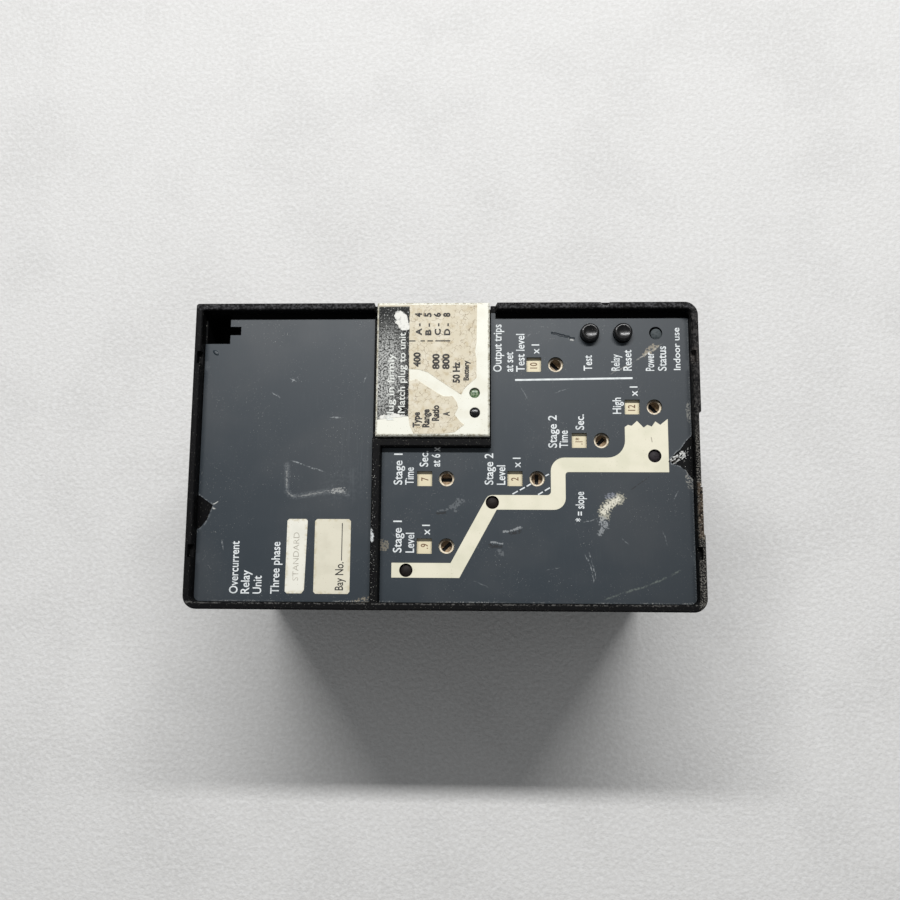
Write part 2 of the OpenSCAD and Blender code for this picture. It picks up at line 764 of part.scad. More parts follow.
// Corner cut from a label so that it fits the round corner of the recess
module label_corner(side) {
    r = drawn_in(corner_r, rim + label_gap);
    difference() {
        pad([side * label_x, label_y0], [2 * r, 2 * r, label_t + 2 * over], z_floor - over);
        rod([side * (label_x - r), label_y0 + r], 2 * r, z_floor - 2 * over, z_label + 2 * over);
    }
}

// Name label on the left of the face, with the well cut-out and a bite broken from its edge
module name_label() {
    color("#565c63") difference() {
        block(-label_x, bar_x0 - label_gap, label_y0, label_y1, z_floor, z_label);
        label_corner(-1);
        block(-in_x, well_x0, well_y0, in_y, z_floor - over, z_label + over);
        well_mouth(z_floor - over, z_label + over);
        translate([-label_x, 0, z_floor - over]) linear_extrude(label_t + 2 * over) polygon([
            [-over, -16], [0.9, -17], [3.1, -18.6], [6, -20.6], [4.9, -23.5], [3.9, -26.4],
            [1.5, -29.4], [-over, -31]
        ]);
    }
}

// Settings label with its openings, a tab beside the rating plug and a torn edge
module settings_label() {
    x0 = bar_x1 + label_gap;
    x1 = pocket_x1 + label_gap;
    tab_x1 = pocket_x1 + rim_cut_right - rim_cut_slope;
    color("#565c63") difference() {
        union() {
            block(x0, label_x, label_y0, bar_y0 - label_gap, z_floor, z_label);
            block(x1, label_x, label_y0, label_y1, z_floor, z_label);
            block(x1, tab_x1, label_y0, in_y - label_gap, z_floor, z_label);
        }
        label_corner(1);
        face_openings(z_floor - over, z_label + over);
        translate([label_x, 0, z_floor - over]) linear_extrude(label_t + 2 * over) polygon([
            [over, 9], [-0.4, 7.4], [-2.3, 5.6], [-3.4, 3.9], [-4.8, 2], [-6.4, 0.9], [-8.9, -1.9],
            [-8.1, -3.5], [-5, -4.4], [-3.9, -5.5], [-2.7, -6], [-1.6, -8], [over, -11]
        ]);
    }
}

// Points along an arc about a centre
function arc(cx, cy, r, a0, a1, n = 8) =
    [for (i = [0:n]) [cx + r * cos(a0 + (a1 - a0) * i / n), cy + r * sin(a0 + (a1 - a0) * i / n)]];

// Trip curve: three levels through the lamps, joined by a slope and a riser, with a torn top
curve_half = curve_w / 2;
curve_x0 = led_long[0] - 5.7;
curve_knee = [led_long[0] + 19.3, led_long[1]];
curve_riser_x = dial_3[0] + 8.3;
curve_level_3 = led_instant[1] - 3.65;
curve_block_x0 = led_instant[0] - 11.6;
curve_block_x1 = led_instant[0] + 5.5;
curve_slope = atan2(led_short[1] - curve_knee[1], led_short[0] - curve_knee[0]);
curve_mitre = curve_half * tan(curve_slope / 2);
lower_bend_r = 1.5;
upper_bend_r = 5.5;
block_bend_r = 7;
inner_bend_r = 1.2;
outer_bend_r = 4.7;
torn_top = [
    [0, 11.2], [1.3, 12.1], [2.75, 11.7], [4.9, 13.7], [7.5, 11], [9, 12.1], [10.7, 11.4], [12.2, 13.5],
    [14.1, 12.1], [curve_block_x1 - curve_block_x0, 14.5]
];
level_2_top = led_short[1] + curve_half;
level_2_base = led_short[1] - curve_half;
level_3_top = curve_level_3 + curve_half;
level_3_base = curve_level_3 - curve_half;
riser_left = curve_riser_x - curve_half;
riser_right = curve_riser_x + curve_half;
curve_outline = concat(
    [[curve_x0, curve_knee[1] - curve_half], [curve_x0, curve_knee[1] + curve_half]],
    [[curve_knee[0] - curve_mitre, curve_knee[1] + curve_half]],
    arc(led_short[0], led_short[1], curve_half, curve_slope + 90, 90),
    arc(riser_left - lower_bend_r, level_2_top + lower_bend_r, lower_bend_r, -90, 0),
    arc(riser_left + upper_bend_r, level_3_top - upper_bend_r, upper_bend_r, 180, 90),
    arc(curve_block_x0 - block_bend_r, level_3_top + block_bend_r, block_bend_r, -90, 0),
    [for (p = torn_top) [curve_block_x0 + p[0], p[1]]],
    [[curve_block_x1, level_3_base]],
    arc(riser_right + inner_bend_r, level_3_base - inner_bend_r, inner_bend_r, 90, 180),
    arc(riser_right - outer_bend_r, level_2_base + outer_bend_r, outer_bend_r, 0, -90),
    [[led_short[0] + curve_mitre, level_2_base], [curve_knee[0] + curve_mitre, curve_knee[1] - curve_half]]
);

// Printed trip curve on the settings label
module trip_curve_print() {
    color("#e2dec6") difference() {
        translate([0, 0, z_label]) linear_extrude(print_t) polygon(curve_outline);
        face_openings(z_label - over, z_label + print_t + over);
    }
}

// Blank sticker on the name label, with one corner lost
module blank_sticker() {
    color("#ece6da") translate([bar_x0 - 33.85, -in_y + 3.4, z_label]) linear_extrude(sticker_t)
        polygon([[0, 0.8], [0.8, 0], [6.6, 0], [7.6, 1.4], [8.35, 28.6], [7.7, 29.3], [0.9, 29.3], [0.2, 28.6]]);
}

// Location label on the name label
module location_label() {
    color("#dfd9c2") translate([bar_x0 - 22.55, -in_y + 3.3, z_label]) linear_extrude(sticker_t)
        polygon([[0, 0.8], [0.8, 0], [13.5, 0], [14.3, 0.8], [14.3, 28.6], [13.5, 29.4], [0.8, 29.4], [0, 28.6]]);
}

// Setting dial: cupped and slotted hub, number disc, collar and shaft, turned to a setting step
module dial(at, step) {
    color("#ddd0b2") translate([at[0], at[1], 0]) rotate([0, 0, slot_angle_0 - step_angle * step]) difference() {
        union() {
            rod([0, 0], hub_d, z_disc - disc_t, z_hub);
            rod([0, 0], 2 * disc_r, z_disc - disc_t, z_disc);
            rod([0, 0], collar_d, z_collar, z_disc - disc_t + eps);
            rod([0, 0], shaft_d, z_collar - running_gap - shaft_in, z_collar + eps);
        }
        rod([0, 0], cup_d, z_hub - cup_h, z_hub + over);
        pad([0, 0], [cup_d, slot_w, slot_d + eps], z_hub - cup_h - slot_d);
    }
}

// Rotary switch bodies on the front board, bored for the dial shafts
module rotary_switches() {
    color("#2f5a8a") for (d = dials) difference() {
        pad(d, [switch_side, switch_side, switch_h], z_front_board);
        rod(d, shaft_d + 2 * shaft_gap, z_front_board + switch_floor, z_front_board + switch_h + over);
    }
}

// Push button: a revolved cap with a round edge and a finger dish, a flange and a stem
module push_button(at) {
    r = button_d / 2;
    e = button_edge_r;
    z_top = z_label + button_proud;
    z_flange = z_under - seat_gap;
    dish_r = ((dish_d / 2) * (dish_d / 2) + dish_h * dish_h) / (2 * dish_h);
    dish_half = asin(dish_d / 2 / dish_r);
    color("#141416") translate([at[0], at[1], 0]) rotate_extrude() polygon(concat(
        [[0, z_front_board + tact_h - stem_in], [stem_d / 2, z_front_board + tact_h - stem_in]],
        [[stem_d / 2, z_flange - button_flange_t], [button_flange_d / 2, z_flange - button_flange_t]],
        [[button_flange_d / 2, z_flange], [r, z_flange]],
        arc(r - e, z_top - e, e, 0, 90),
        arc(0, z_top - dish_h + dish_r, dish_r, dish_half - 90, -90)
    ));
}

// Push switch body, bored for the button stem
module switch_body(at, z0) {
    difference() {
        pad(at, [tact_side, tact_side, tact_h], z0);
        rod(at, stem_d + 2 * button_gap, z0 + switch_floor, z0 + tact_h + over);
    }
}

module push_switches() {
    color("#2a2a2a") for (p = buttons) switch_body(p, z_front_board);
}

// Indicator lamp: crowned lens on a flange, with two leads down to its board
module lamp(at, d, z_top, height, z_board) {
    z0 = z_top - height;
    translate([at[0], at[1], 0]) {
        rod([0, 0], d + led_flange, z0, z0 + led_flange);
        intersection() {
            rod([0, 0], d, z0, z_top + over);
            union() {
                translate([0, 0, z_top - crown_r]) sphere(r = crown_r);
                rod([0, 0], d, z0, z_top - crown_r);
            }
        }
        for (sx = [-0.5, 0.5]) {
            pad([sx * lead_pitch, 0], [lead_side, lead_side, z0 - z_board + eps], z_board);
        }
    }
}

module face_lamp(at, d, tint, sunk = led_recess) {
    color(tint) lamp(at, d, z_label - sunk, led_h, z_front_board);
}

module status_lamp() {
    face_lamp(led_status + status_led_shift, status_led_d, "#4a5454", status_led_recess);
}

// Front board: carries the dials, lamps and buttons, and clears the pocket and the case screws
module front_board() {
    x0 = bar_x0 + board_gap;
    x1 = in_x - board_gap;
    y1 = in_y - board_gap;
    clear_x = pocket_x1 + pocket_wall + board_gap;
    clear_y = pocket_y0 - pocket_wall - board_gap;
    c = front_corner;
    color("#2f5b3a") difference() {
        translate([0, 0, z_front_board - board_t]) linear_extrude(board_t) polygon([
            [x0, -y1], [x1 - c, -y1], [x1, -y1 + c], [x1, y1 - c], [x1 - c, y1],
            [clear_x, y1], [clear_x, clear_y], [x0, clear_y]
        ]);
        for (p = front_posts_at) {
            rod(p, board_screw_d + 2 * screw_play, z_front_board - board_t - over, z_front_board + over);
        }
    }
}

// Screw with a round head, driven up
module screw_up(at, d, head_d, head_h, z_seat, length) {
    rod(at, head_d, z_seat - head_h, z_seat);
    rod(at, d, z_seat - eps, z_seat + length);
}

module front_board_screws() {
    color("#b9bcc0") for (p = front_posts_at) union()
        screw_up(p, board_screw_d, board_head_d, board_head_h, z_front_board - board_t, board_screw_l);
}

// Board inside the rear housing, cut out round the screw columns and drilled for its screws
module housing_board(z_top, holes_at) {
    x1 = body_w / 2 - reveal - wall - board_gap;
    y1 = body_h / 2 - reveal - wall - board_gap;
    z0 = z_top - board_t;
    difference() {
        block(-x1, x1, -y1, y1, z0, z_top);
        for (p = case_screws_at) rod(p, column_d + 2 * board_gap, z0 - over, z_top + over);
        for (c = [[1, 1], [1, -1], [-1, -1]]) {
            pad([c[0] * x1, c[1] * y1], [2 * screw_in, 2 * screw_in, board_t + 2 * over], z0 - over);
        }
        for (p = holes_at) rod(p, board_screw_d + 2 * screw_play, z0 - over, z_top + over);
    }
}

// Logic board on the tall posts, under the front board
module logic_board() {
    color("#2f5b3a") housing_board(z_logic_board, logic_posts_at);
}

// Main board at the back, notched for the posts that rise past it to the logic board
module main_board() {
    notch = post_d + 2 * board_gap;
    color("#2f5b3a") difference() {
        housing_board(z_main_board, main_posts_at);
        for (p = logic_posts_at) {
            pad([sign(p[0]) * body_w / 2, p[1]], [body_w - 2 * abs(p[0]) + notch, notch, board_t + 2 * over],
                z_main_board - board_t - over);
        }
    }
}

// Screw with a round head, driven down through a board
module board_screw(at, z_board) {
    rod(at, board_head_d, z_board, z_board + board_head_h);
    rod(at, board_screw_d, z_board - board_screw_l, z_board + eps);
}

module logic_board_screws() {
    color("#b9bcc0") for (p = logic_posts_at) union() board_screw(p, z_logic_board);
}

module main_board_screws() {
    color("#b9bcc0") for (p = main_posts_at) union() board_screw(p, z_main_board);
}

// Riser card that joins the main board and the logic board
module riser_card() {
    z0 = z_main_board + riser_socket_h - riser_in;
    z1 = z_logic_board - board_t - riser_socket_h + riser_in - seat_gap;
    color("#2f5b3a") pad(riser_at, [riser_l, board_t, z1 - z0], z0);
}

// Slotted sockets at both ends of the riser card
module riser_sockets() {
    slot = [riser_l + 2 * riser_gap, board_t + 2 * riser_gap, riser_in + over];
    body = [riser_l + 2 * riser_socket_end, riser_socket_w, riser_socket_h];
    z_upper = z_logic_board - board_t - riser_socket_h;
    color("#2a2a2d") {
        difference() {
            pad(riser_at, body, z_main_board);
            pad(riser_at, slot, z_main_board + riser_socket_h - riser_in);
        }
        difference() {
            pad(riser_at, body, z_upper);
            pad(riser_at, slot, z_upper - over);
        }
    }
}

// Header that joins the logic board and the front board
module board_link() {
    z_pins = z_logic_board + link_h - eps;
    color("#303034") {
        pad(link_at, [link_l, link_w, link_h], z_logic_board);
        for (i = [-5:5], j = [-0.5, 0.5]) {
            pad([link_at[0] + i * leg_pitch, link_at[1] + j * leg_pitch],
                [link_pin, link_pin, z_front_board - board_t - z_pins], z_pins);
        }
    }
}

// Processor in a dual in-line package, standing on its legs
module processor_chip() {
    leg = 0.6;
    legs = 14;
    color("#232326") {
        pad(chip_at, [chip_l, chip_w, chip_h], z_logic_board + chip_lift);
        for (i = [0:legs - 1], sy = [-0.5, 0.5]) {
            pad([chip_at[0] + (i - (legs - 1) / 2) * leg_pitch, chip_at[1] + sy * chip_w],
                [leg, 2 * leg, chip_lift + chip_h / 2], z_logic_board);
        }
    }
}

// Current transformers: a laminated core with a wound coil through its two windows
module current_transformers() {
    window_w = (core_w - 3 * core_leg) / 2 - 1;
    window_h = core_h - 2 * core_leg;
    color("#5a4a3a") for (i = [0:1], j = [0:1]) {
        at = first_core + [i * core_pitch_x, j * core_pitch_y];
        union() {
            difference() {
                pad(at, [core_w, core_l, core_h], z_main_board);
                for (sx = [-1, 1]) {
                    pad([at[0] + sx * (core_w / 2 - core_leg - window_w / 2), at[1]],
                        [window_w, core_l + 2 * over, window_h], z_main_board + core_leg);
                }
            }
            pad(at, [core_w - 2 * core_leg - 1, core_l + 2 * coil_edge, window_h - 1],
                z_main_board + core_leg + 0.5);
        }
    }
}

// Storage capacitors: crimped cans
module storage_capacitors() {
    r = capacitor_d / 2;
    color("#2b3f63") for (i = [0:1]) {
        translate([first_capacitor[0] + i * capacitor_pitch, first_capacitor[1], z_main_board]) rotate_extrude()
            polygon([
                [0, 0], [r, 0], [r, crimp_h], [r - crimp_in, crimp_h], [r - crimp_in, 2 * crimp_h],
                [r, 2 * crimp_h], [r, capacitor_h], [0, capacitor_h]
            ]);
    }
}

// Rating plug case: a shell with a head that fills the notch in the skirt
module plug_case() {
    z_seam = z_head + seat_gap;
    color("#e8e4d8") difference() {
        union() {
            block(plug_x0, plug_x1, plug_y0, plug_inner_y1, plug_z0, z_seam + eps);
            plug_head(z_seam);
        }
        block(plug_x0 + plug_wall, plug_x1 - plug_wall, plug_y0 + plug_wall, plug_inner_y1 - plug_wall,
            plug_z0 - over, plug_z1 - plug_wall);
        for (p = [plug_lamp_at, plug_button_at]) rod(p, plug_hole_d, plug_z1 - plug_wall - over, plug_z1 + over);
    }
}

// Head of the rating plug with bevelled edges
module plug_head(z0) {
    b = plug_bevel;
    w = plug_x1 - plug_x0;
    l = plug_y1 - plug_y0;
    h = plug_z1 - z0;
    translate([plug_x0, plug_y0, z0]) intersection() {
        translate([0, l, 0]) rotate([90, 0, 0]) linear_extrude(l)
            polygon([[0, 0], [w, 0], [w, h - b], [w - b, h], [b, h], [0, h - b]]);
        rotate([90, 0, 90]) linear_extrude(w)
            polygon([[0, 0], [l, 0], [l, h - b], [l - b, h], [b, h], [0, h - b]]);
    }
}

// Area inside the walls of the rating plug, less some play
module plug_inside(gap, z0, z1) {
    g = plug_wall + gap;
    block(plug_x0 + g, plug_x1 - g, plug_y0 + g, plug_inner_y1 - g, z0, z1);
}

// Base of the rating plug with the posts that carry its board
module plug_base() {
    color("#cfcabb") {
        plug_inside(plug_base_gap, plug_z0, plug_z0 + plug_base_t);
        for (p = plug_posts_at) rod(p, plug_post_d, plug_z0 + plug_base_t - eps, z_plug_board - board_t);
    }
}

// Paper label on the rating plug: a dark band, an upper piece and a lower piece left by a slanting tear
paper_far = plug_y1 - plug_y0 - 1;
paper_outline = [
    [0.7, 6.6], [13.1, 8], [13.7, 4.1], [15.3, 0.9], [26.2, 0.9], [31.5, 1.6], [35.3, 4.5], [33.9, 5.6],
    [31.5, 8.6], [32.9, 11.5], [32.3, 13.6], [30.7, 16], [27, 16], [24.6, 17.3], [22.2, 18.9], [19, 21],
    [16.1, 23], [13.5, 22.2], [13.1, 27.2], [17, 27], [20.6, 25.9], [24.6, 23], [29.4, 19.8], [34.1, 16.7],
    [35.1, 18.9], [37.1, 21], [40.1, 23.5], [40.1, 31.3], [39.5, 34.6], [40.1, 37.9],
    [40.3, paper_far], [0.7, paper_far]
];

module plug_label() {
    color("#e2d5b8") translate([plug_x0, plug_y0, plug_z1]) linear_extrude(sticker_t) polygon(paper_outline);
}

module plug_board() {
    color("#2f5b3a") plug_inside(2 * seat_gap, z_plug_board - board_t, z_plug_board);
}

module plug_lamp() {
    height = plug_z1 - plug_wall - z_plug_board - 5;
    color("#5f8a63")
        lamp(plug_lamp_at, plug_hole_d - 2 * plug_hole_gap, plug_z1 - plug_lamp_recess, height, z_plug_board);
}

// Battery check button: a small plunger kept in by its flange
module battery_check_button() {
    d = plug_hole_d - 2 * plug_hole_gap;
    z_flange = plug_z1 - plug_wall - seat_gap;
    color("#141416") translate([plug_button_at[0], plug_button_at[1], 0]) {
        rod([0, 0], d, z_flange - eps, plug_z1 - plug_button_recess);
        rod([0, 0], d + 2 * button_flange_edge, z_flange - button_flange_t, z_flange);
        rod([0, 0], stem_d, z_plug_board + tact_h - stem_in, z_flange - button_flange_t + eps);
    }
}

module plug_switch() {
    color("#2a2a2a") switch_body(plug_button_at, z_plug_board);
}

// Lithium cell standing in its holder
module battery() {
    r = battery_d / 2;
    shoulder = 0.8;
    color("#c9ccd0") translate([battery_at[0], battery_at[1], z_plug_board + holder_wall]) rotate_extrude()
        polygon([
            [0, 0], [r, 0], [r, battery_l - shoulder], [r - shoulder, battery_l - shoulder],
            [r - shoulder, battery_l], [0, battery_l]
        ]);
}

module battery_holder() {
    inner_d = battery_d + 2 * battery_gap;
    color("#2b2b2e") difference() {
        rod(battery_at, inner_d + 2 * holder_wall, z_plug_board, z_plug_board + holder_h);
        rod(battery_at, inner_d, z_plug_board + holder_wall, z_plug_board + holder_h + over);
    }
}

// Contact pins below the rating plug
module plug_pins() {
    color("#d8b45a") for (p = plug_pins_at) {
        pad(p, [plug_pin_side, plug_pin_side, plug_pin_l], plug_z0 - plug_pin_l);
    }
}

// Socket on the logic board for those pins
module plug_socket() {
    hole = plug_pin_side + 2 * plug_pin_gap;
    color("#2a2a2d") difference() {
        pad([plug_x, plug_centre_y], [socket_w, socket_t, socket_h], z_logic_board);
        for (p = plug_pins_at) pad(p, [hole, hole, plug_pin_l + over], plug_z0 - plug_pin_l - over);
    }
}

// Rear connector: a shroud that passes through the back and a flange that seats inside it
module connector_shell() {
    color("#333338") difference() {
        union() {
            pad(connector_at, [shroud_l, shroud_w, z_main_board - board_t], 0);
            pad(connector_at, [shroud_l + 2 * flange_edge, shroud_w + 2 * flange_edge, flange_t], back_t);
        }
        pad(connector_at, [shroud_l - 2 * shroud_wall, shroud_w - 2 * shroud_wall, socket_depth + over], -over);
    }
}

module connector_pins() {
    color("#d8b45a") for (i = [0:connector_columns - 1], j = [0:connector_rows - 1]) {
        pad([connector_at[0] + (i - (connector_columns - 1) / 2) * pin_pitch,
             connector_at[1] + (j - (connector_rows - 1) / 2) * pin_pitch],
            [pin_side, pin_side, pin_l], socket_depth - pin_l);
    }
}

// Case screws, driven up deep wells in the columns into the front moulding
module case_screws() {
    color("#8d9095") for (p = case_screws_at) union()
        screw_up(p, case_screw_d, case_head_d, case_head_h, z_case_seat, case_screw_l);
}

// Threaded inserts in the back
module mounting_inserts() {
    color("#c49a4a") for (p = inserts_at) difference() {
        rod(p, insert_d, 0, insert_l);
        rod(p, insert_bore_d, -over, insert_l + over);
    }
}

front_bezel();
rear_housing();
name_label();
settings_label();
trip_curve_print();
blank_sticker();
location_label();
dial(dial_1, 2);  // dial_long_delay_time
dial(dial_2, 5);  // dial_long_delay_level
dial(dial_3, 0);  // dial_short_delay_level
dial(dial_4, 5);  // dial_short_delay_time
dial(dial_5, 7);  // dial_instantaneous
dial(dial_6, 7);  // dial_test_level
rotary_switches();
push_button(button_test);  // test_button
push_button(button_reset);  // reset_button
push_switches();
face_lamp(led_long, led_d, "#3a2c30");  // lamp_long_delay
face_lamp(led_short, led_d, "#3a2c30");  // lamp_short_delay
face_lamp(led_instant, led_d, "#3a2c30");  // lamp_instantaneous
status_lamp();  // lamp_status
front_board();
front_board_screws();
logic_board();
logic_board_screws();
main_board();
main_board_screws();
board_link();
riser_card();
riser_sockets();
processor_chip();
current_transformers();
storage_capacitors();
plug_case();
plug_base();
plug_label();
plug_board();
plug_lamp();
battery_check_button();
plug_switch();
battery();
battery_holder();
plug_pins();
plug_socket();
connector_shell();
connector_pins();
case_screws();
mounting_inserts();
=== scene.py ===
"""Looks of a solid-state protection relay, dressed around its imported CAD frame.

The relay lies on its back with the setting face up. Lengths below are millimetres in the frame's own axes,
and MM turns them into Blender's metres.
"""
import random
from math import atan2, cos, degrees, pi, radians, sin

import bmesh
import bpy
from mathutils import Matrix, Vector


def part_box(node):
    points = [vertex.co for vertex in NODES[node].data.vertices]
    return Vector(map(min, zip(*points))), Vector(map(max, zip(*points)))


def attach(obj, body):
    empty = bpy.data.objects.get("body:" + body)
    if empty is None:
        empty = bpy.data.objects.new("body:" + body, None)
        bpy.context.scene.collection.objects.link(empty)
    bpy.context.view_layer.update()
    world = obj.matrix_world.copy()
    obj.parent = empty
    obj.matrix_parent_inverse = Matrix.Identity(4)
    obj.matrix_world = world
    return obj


MM = 0.001

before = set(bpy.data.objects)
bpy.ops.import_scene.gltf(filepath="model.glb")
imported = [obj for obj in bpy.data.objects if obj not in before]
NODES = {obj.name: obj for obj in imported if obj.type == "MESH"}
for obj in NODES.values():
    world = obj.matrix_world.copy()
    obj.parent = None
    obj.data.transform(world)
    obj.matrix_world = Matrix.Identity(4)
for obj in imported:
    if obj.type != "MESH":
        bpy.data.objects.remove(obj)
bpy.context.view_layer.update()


def node_box(name):
    """Lowest and highest corner of a CAD node in millimetres."""
    low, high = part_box(name)
    return low / MM, high / MM


def node_centre(name):
    """Middle of a CAD node in millimetres."""
    low, high = node_box(name)
    return (low + high) / 2


# Places that the frame gives
FACE_LOW, FACE_HIGH = node_box("front_bezel")
NAME_LOW, NAME_HIGH = node_box("name_label")
SETTINGS_LOW, SETTINGS_HIGH = node_box("settings_label")
PLUG_LOW, PLUG_HIGH = node_box("plug_case")
PAPER_LOW, PAPER_HIGH = node_box("plug_label")
LOCATION_LOW, LOCATION_HIGH = node_box("location_label")
LABEL_TOP = NAME_HIGH.z
RIM_TOP = FACE_HIGH.z
CURVE_TOP = node_box("trip_curve_print")[1].z

# Colours as they look in plain light, as sRGB values from 0 to 255
BLACK = (11, 11, 12)
SCUFFED_BLACK = (74, 74, 75)
HOUSING_BLACK = (15, 15, 16)
SLATE = (38, 47, 54)
PALE_SLATE = (84, 89, 93)
# Painted shade in the dent of the settings label
DENT_SHADE = (38, 42, 47)
SCRATCH_GREY = (150, 154, 156)
SCUFF_WHITE = (190, 190, 186)
SCRAPE_BEIGE = (158, 148, 128)
CREAM = (222, 217, 196)
CREAM_AGED = (204, 202, 178)
LETTER_WHITE = (222, 226, 226)
STICKER_WHITE = (226, 224, 212)
STICKER_CREAM = (214, 209, 190)
STICKER_STAIN = (190, 180, 150)
DIAL_CREAM = (246, 233, 208)
DISC_CREAM = (218, 207, 174)
# Dirt on the hub ring and stain in the hub cup, both darkened further as painted shade
HUB_DIRT_AND_SHADE = (84, 66, 46)
CUP_STAIN_AND_SHADE = (164, 138, 104)
DIAL_INK = (108, 80, 56)
TYPED_INK = (172, 168, 156)
# Painted shade in the dial slots
SLOT_SHADE = (22, 17, 14)
INK = (44, 42, 40)
PLUG_CREAM = (228, 227, 214)
PLUG_DIRT = (150, 140, 112)
PAPER = (210, 201, 179)
PAPER_STAIN = (188, 172, 140)
PAPER_CRACK = (118, 98, 72)
BAND_BLACK = (34, 35, 34)
FRACTURE_BROWN = (74, 64, 54)
FRACTURE_PALE = (164, 156, 142)
DUST = (176, 172, 160)
FLOOR_GREY = (214, 213, 211)


def linear(colour):
    """Blender's linear RGBA for an sRGB colour from 0 to 255."""
    channels = []
    for value in colour:
        share = value / 255
        channels.append(share / 12.92 if share <= 0.04045 else ((share + 0.055) / 1.055) ** 2.4)
    return (*channels, 1.0)


def add_node(tree, kind, inputs, **settings):
    """Adds a node to a tree, with its settings, and sets or links its inputs."""
    node = tree.nodes.new(kind)
    for name, value in settings.items():
        setattr(node, name, value)
    for name, value in inputs.items():
        if isinstance(value, bpy.types.NodeSocket):
            tree.links.new(value, node.inputs[name])
        else:
            node.inputs[name].default_value = value
    return node


def stroke_group():
    """Node group that is 1 on a straight line between two points and fades to 0 at its width."""
    group = bpy.data.node_groups.new("stroke", "ShaderNodeTree")
    face = group.interface
    for name in ("Place", "Start", "End"):
        face.new_socket(name, in_out="INPUT", socket_type="NodeSocketVector")
    face.new_socket("Width", in_out="INPUT", socket_type="NodeSocketFloat")
    face.new_socket("Mask", in_out="OUTPUT", socket_type="NodeSocketFloat")
    given = group.nodes.new("NodeGroupInput").outputs

    def vector(operation, first, second, result="Vector"):
        inputs = {0: first, "Scale" if operation == "SCALE" else 1: second}
        return add_node(group, "ShaderNodeVectorMath", inputs, operation=operation).outputs[result]

    along = vector("SUBTRACT", given["End"], given["Start"])
    offset = vector("SUBTRACT", given["Place"], given["Start"])
    gone = vector("DOT_PRODUCT", offset, along, "Value")
    whole = vector("DOT_PRODUCT", along, along, "Value")
    share = add_node(group, "ShaderNodeMath", {0: gone, 1: whole}, operation="DIVIDE", use_clamp=True)
    nearest = vector("SCALE", along, share.outputs[0])
    fade = add_node(group, "ShaderNodeMapRange", {
        "Value": vector("DISTANCE", offset, nearest, "Value"), "From Max": given["Width"],
        "To Min": 1.0, "To Max": 0.0,
    }, interpolation_type="SMOOTHSTEP")
    add_node(group, "NodeGroupOutput", {"Mask": fade.outputs["Result"]})
    return group


STROKE = stroke_group()

# A patch is full within this share of its reach, and it holds at any height
PATCH_CORE = 0.35
ANY_HEIGHT = 1000


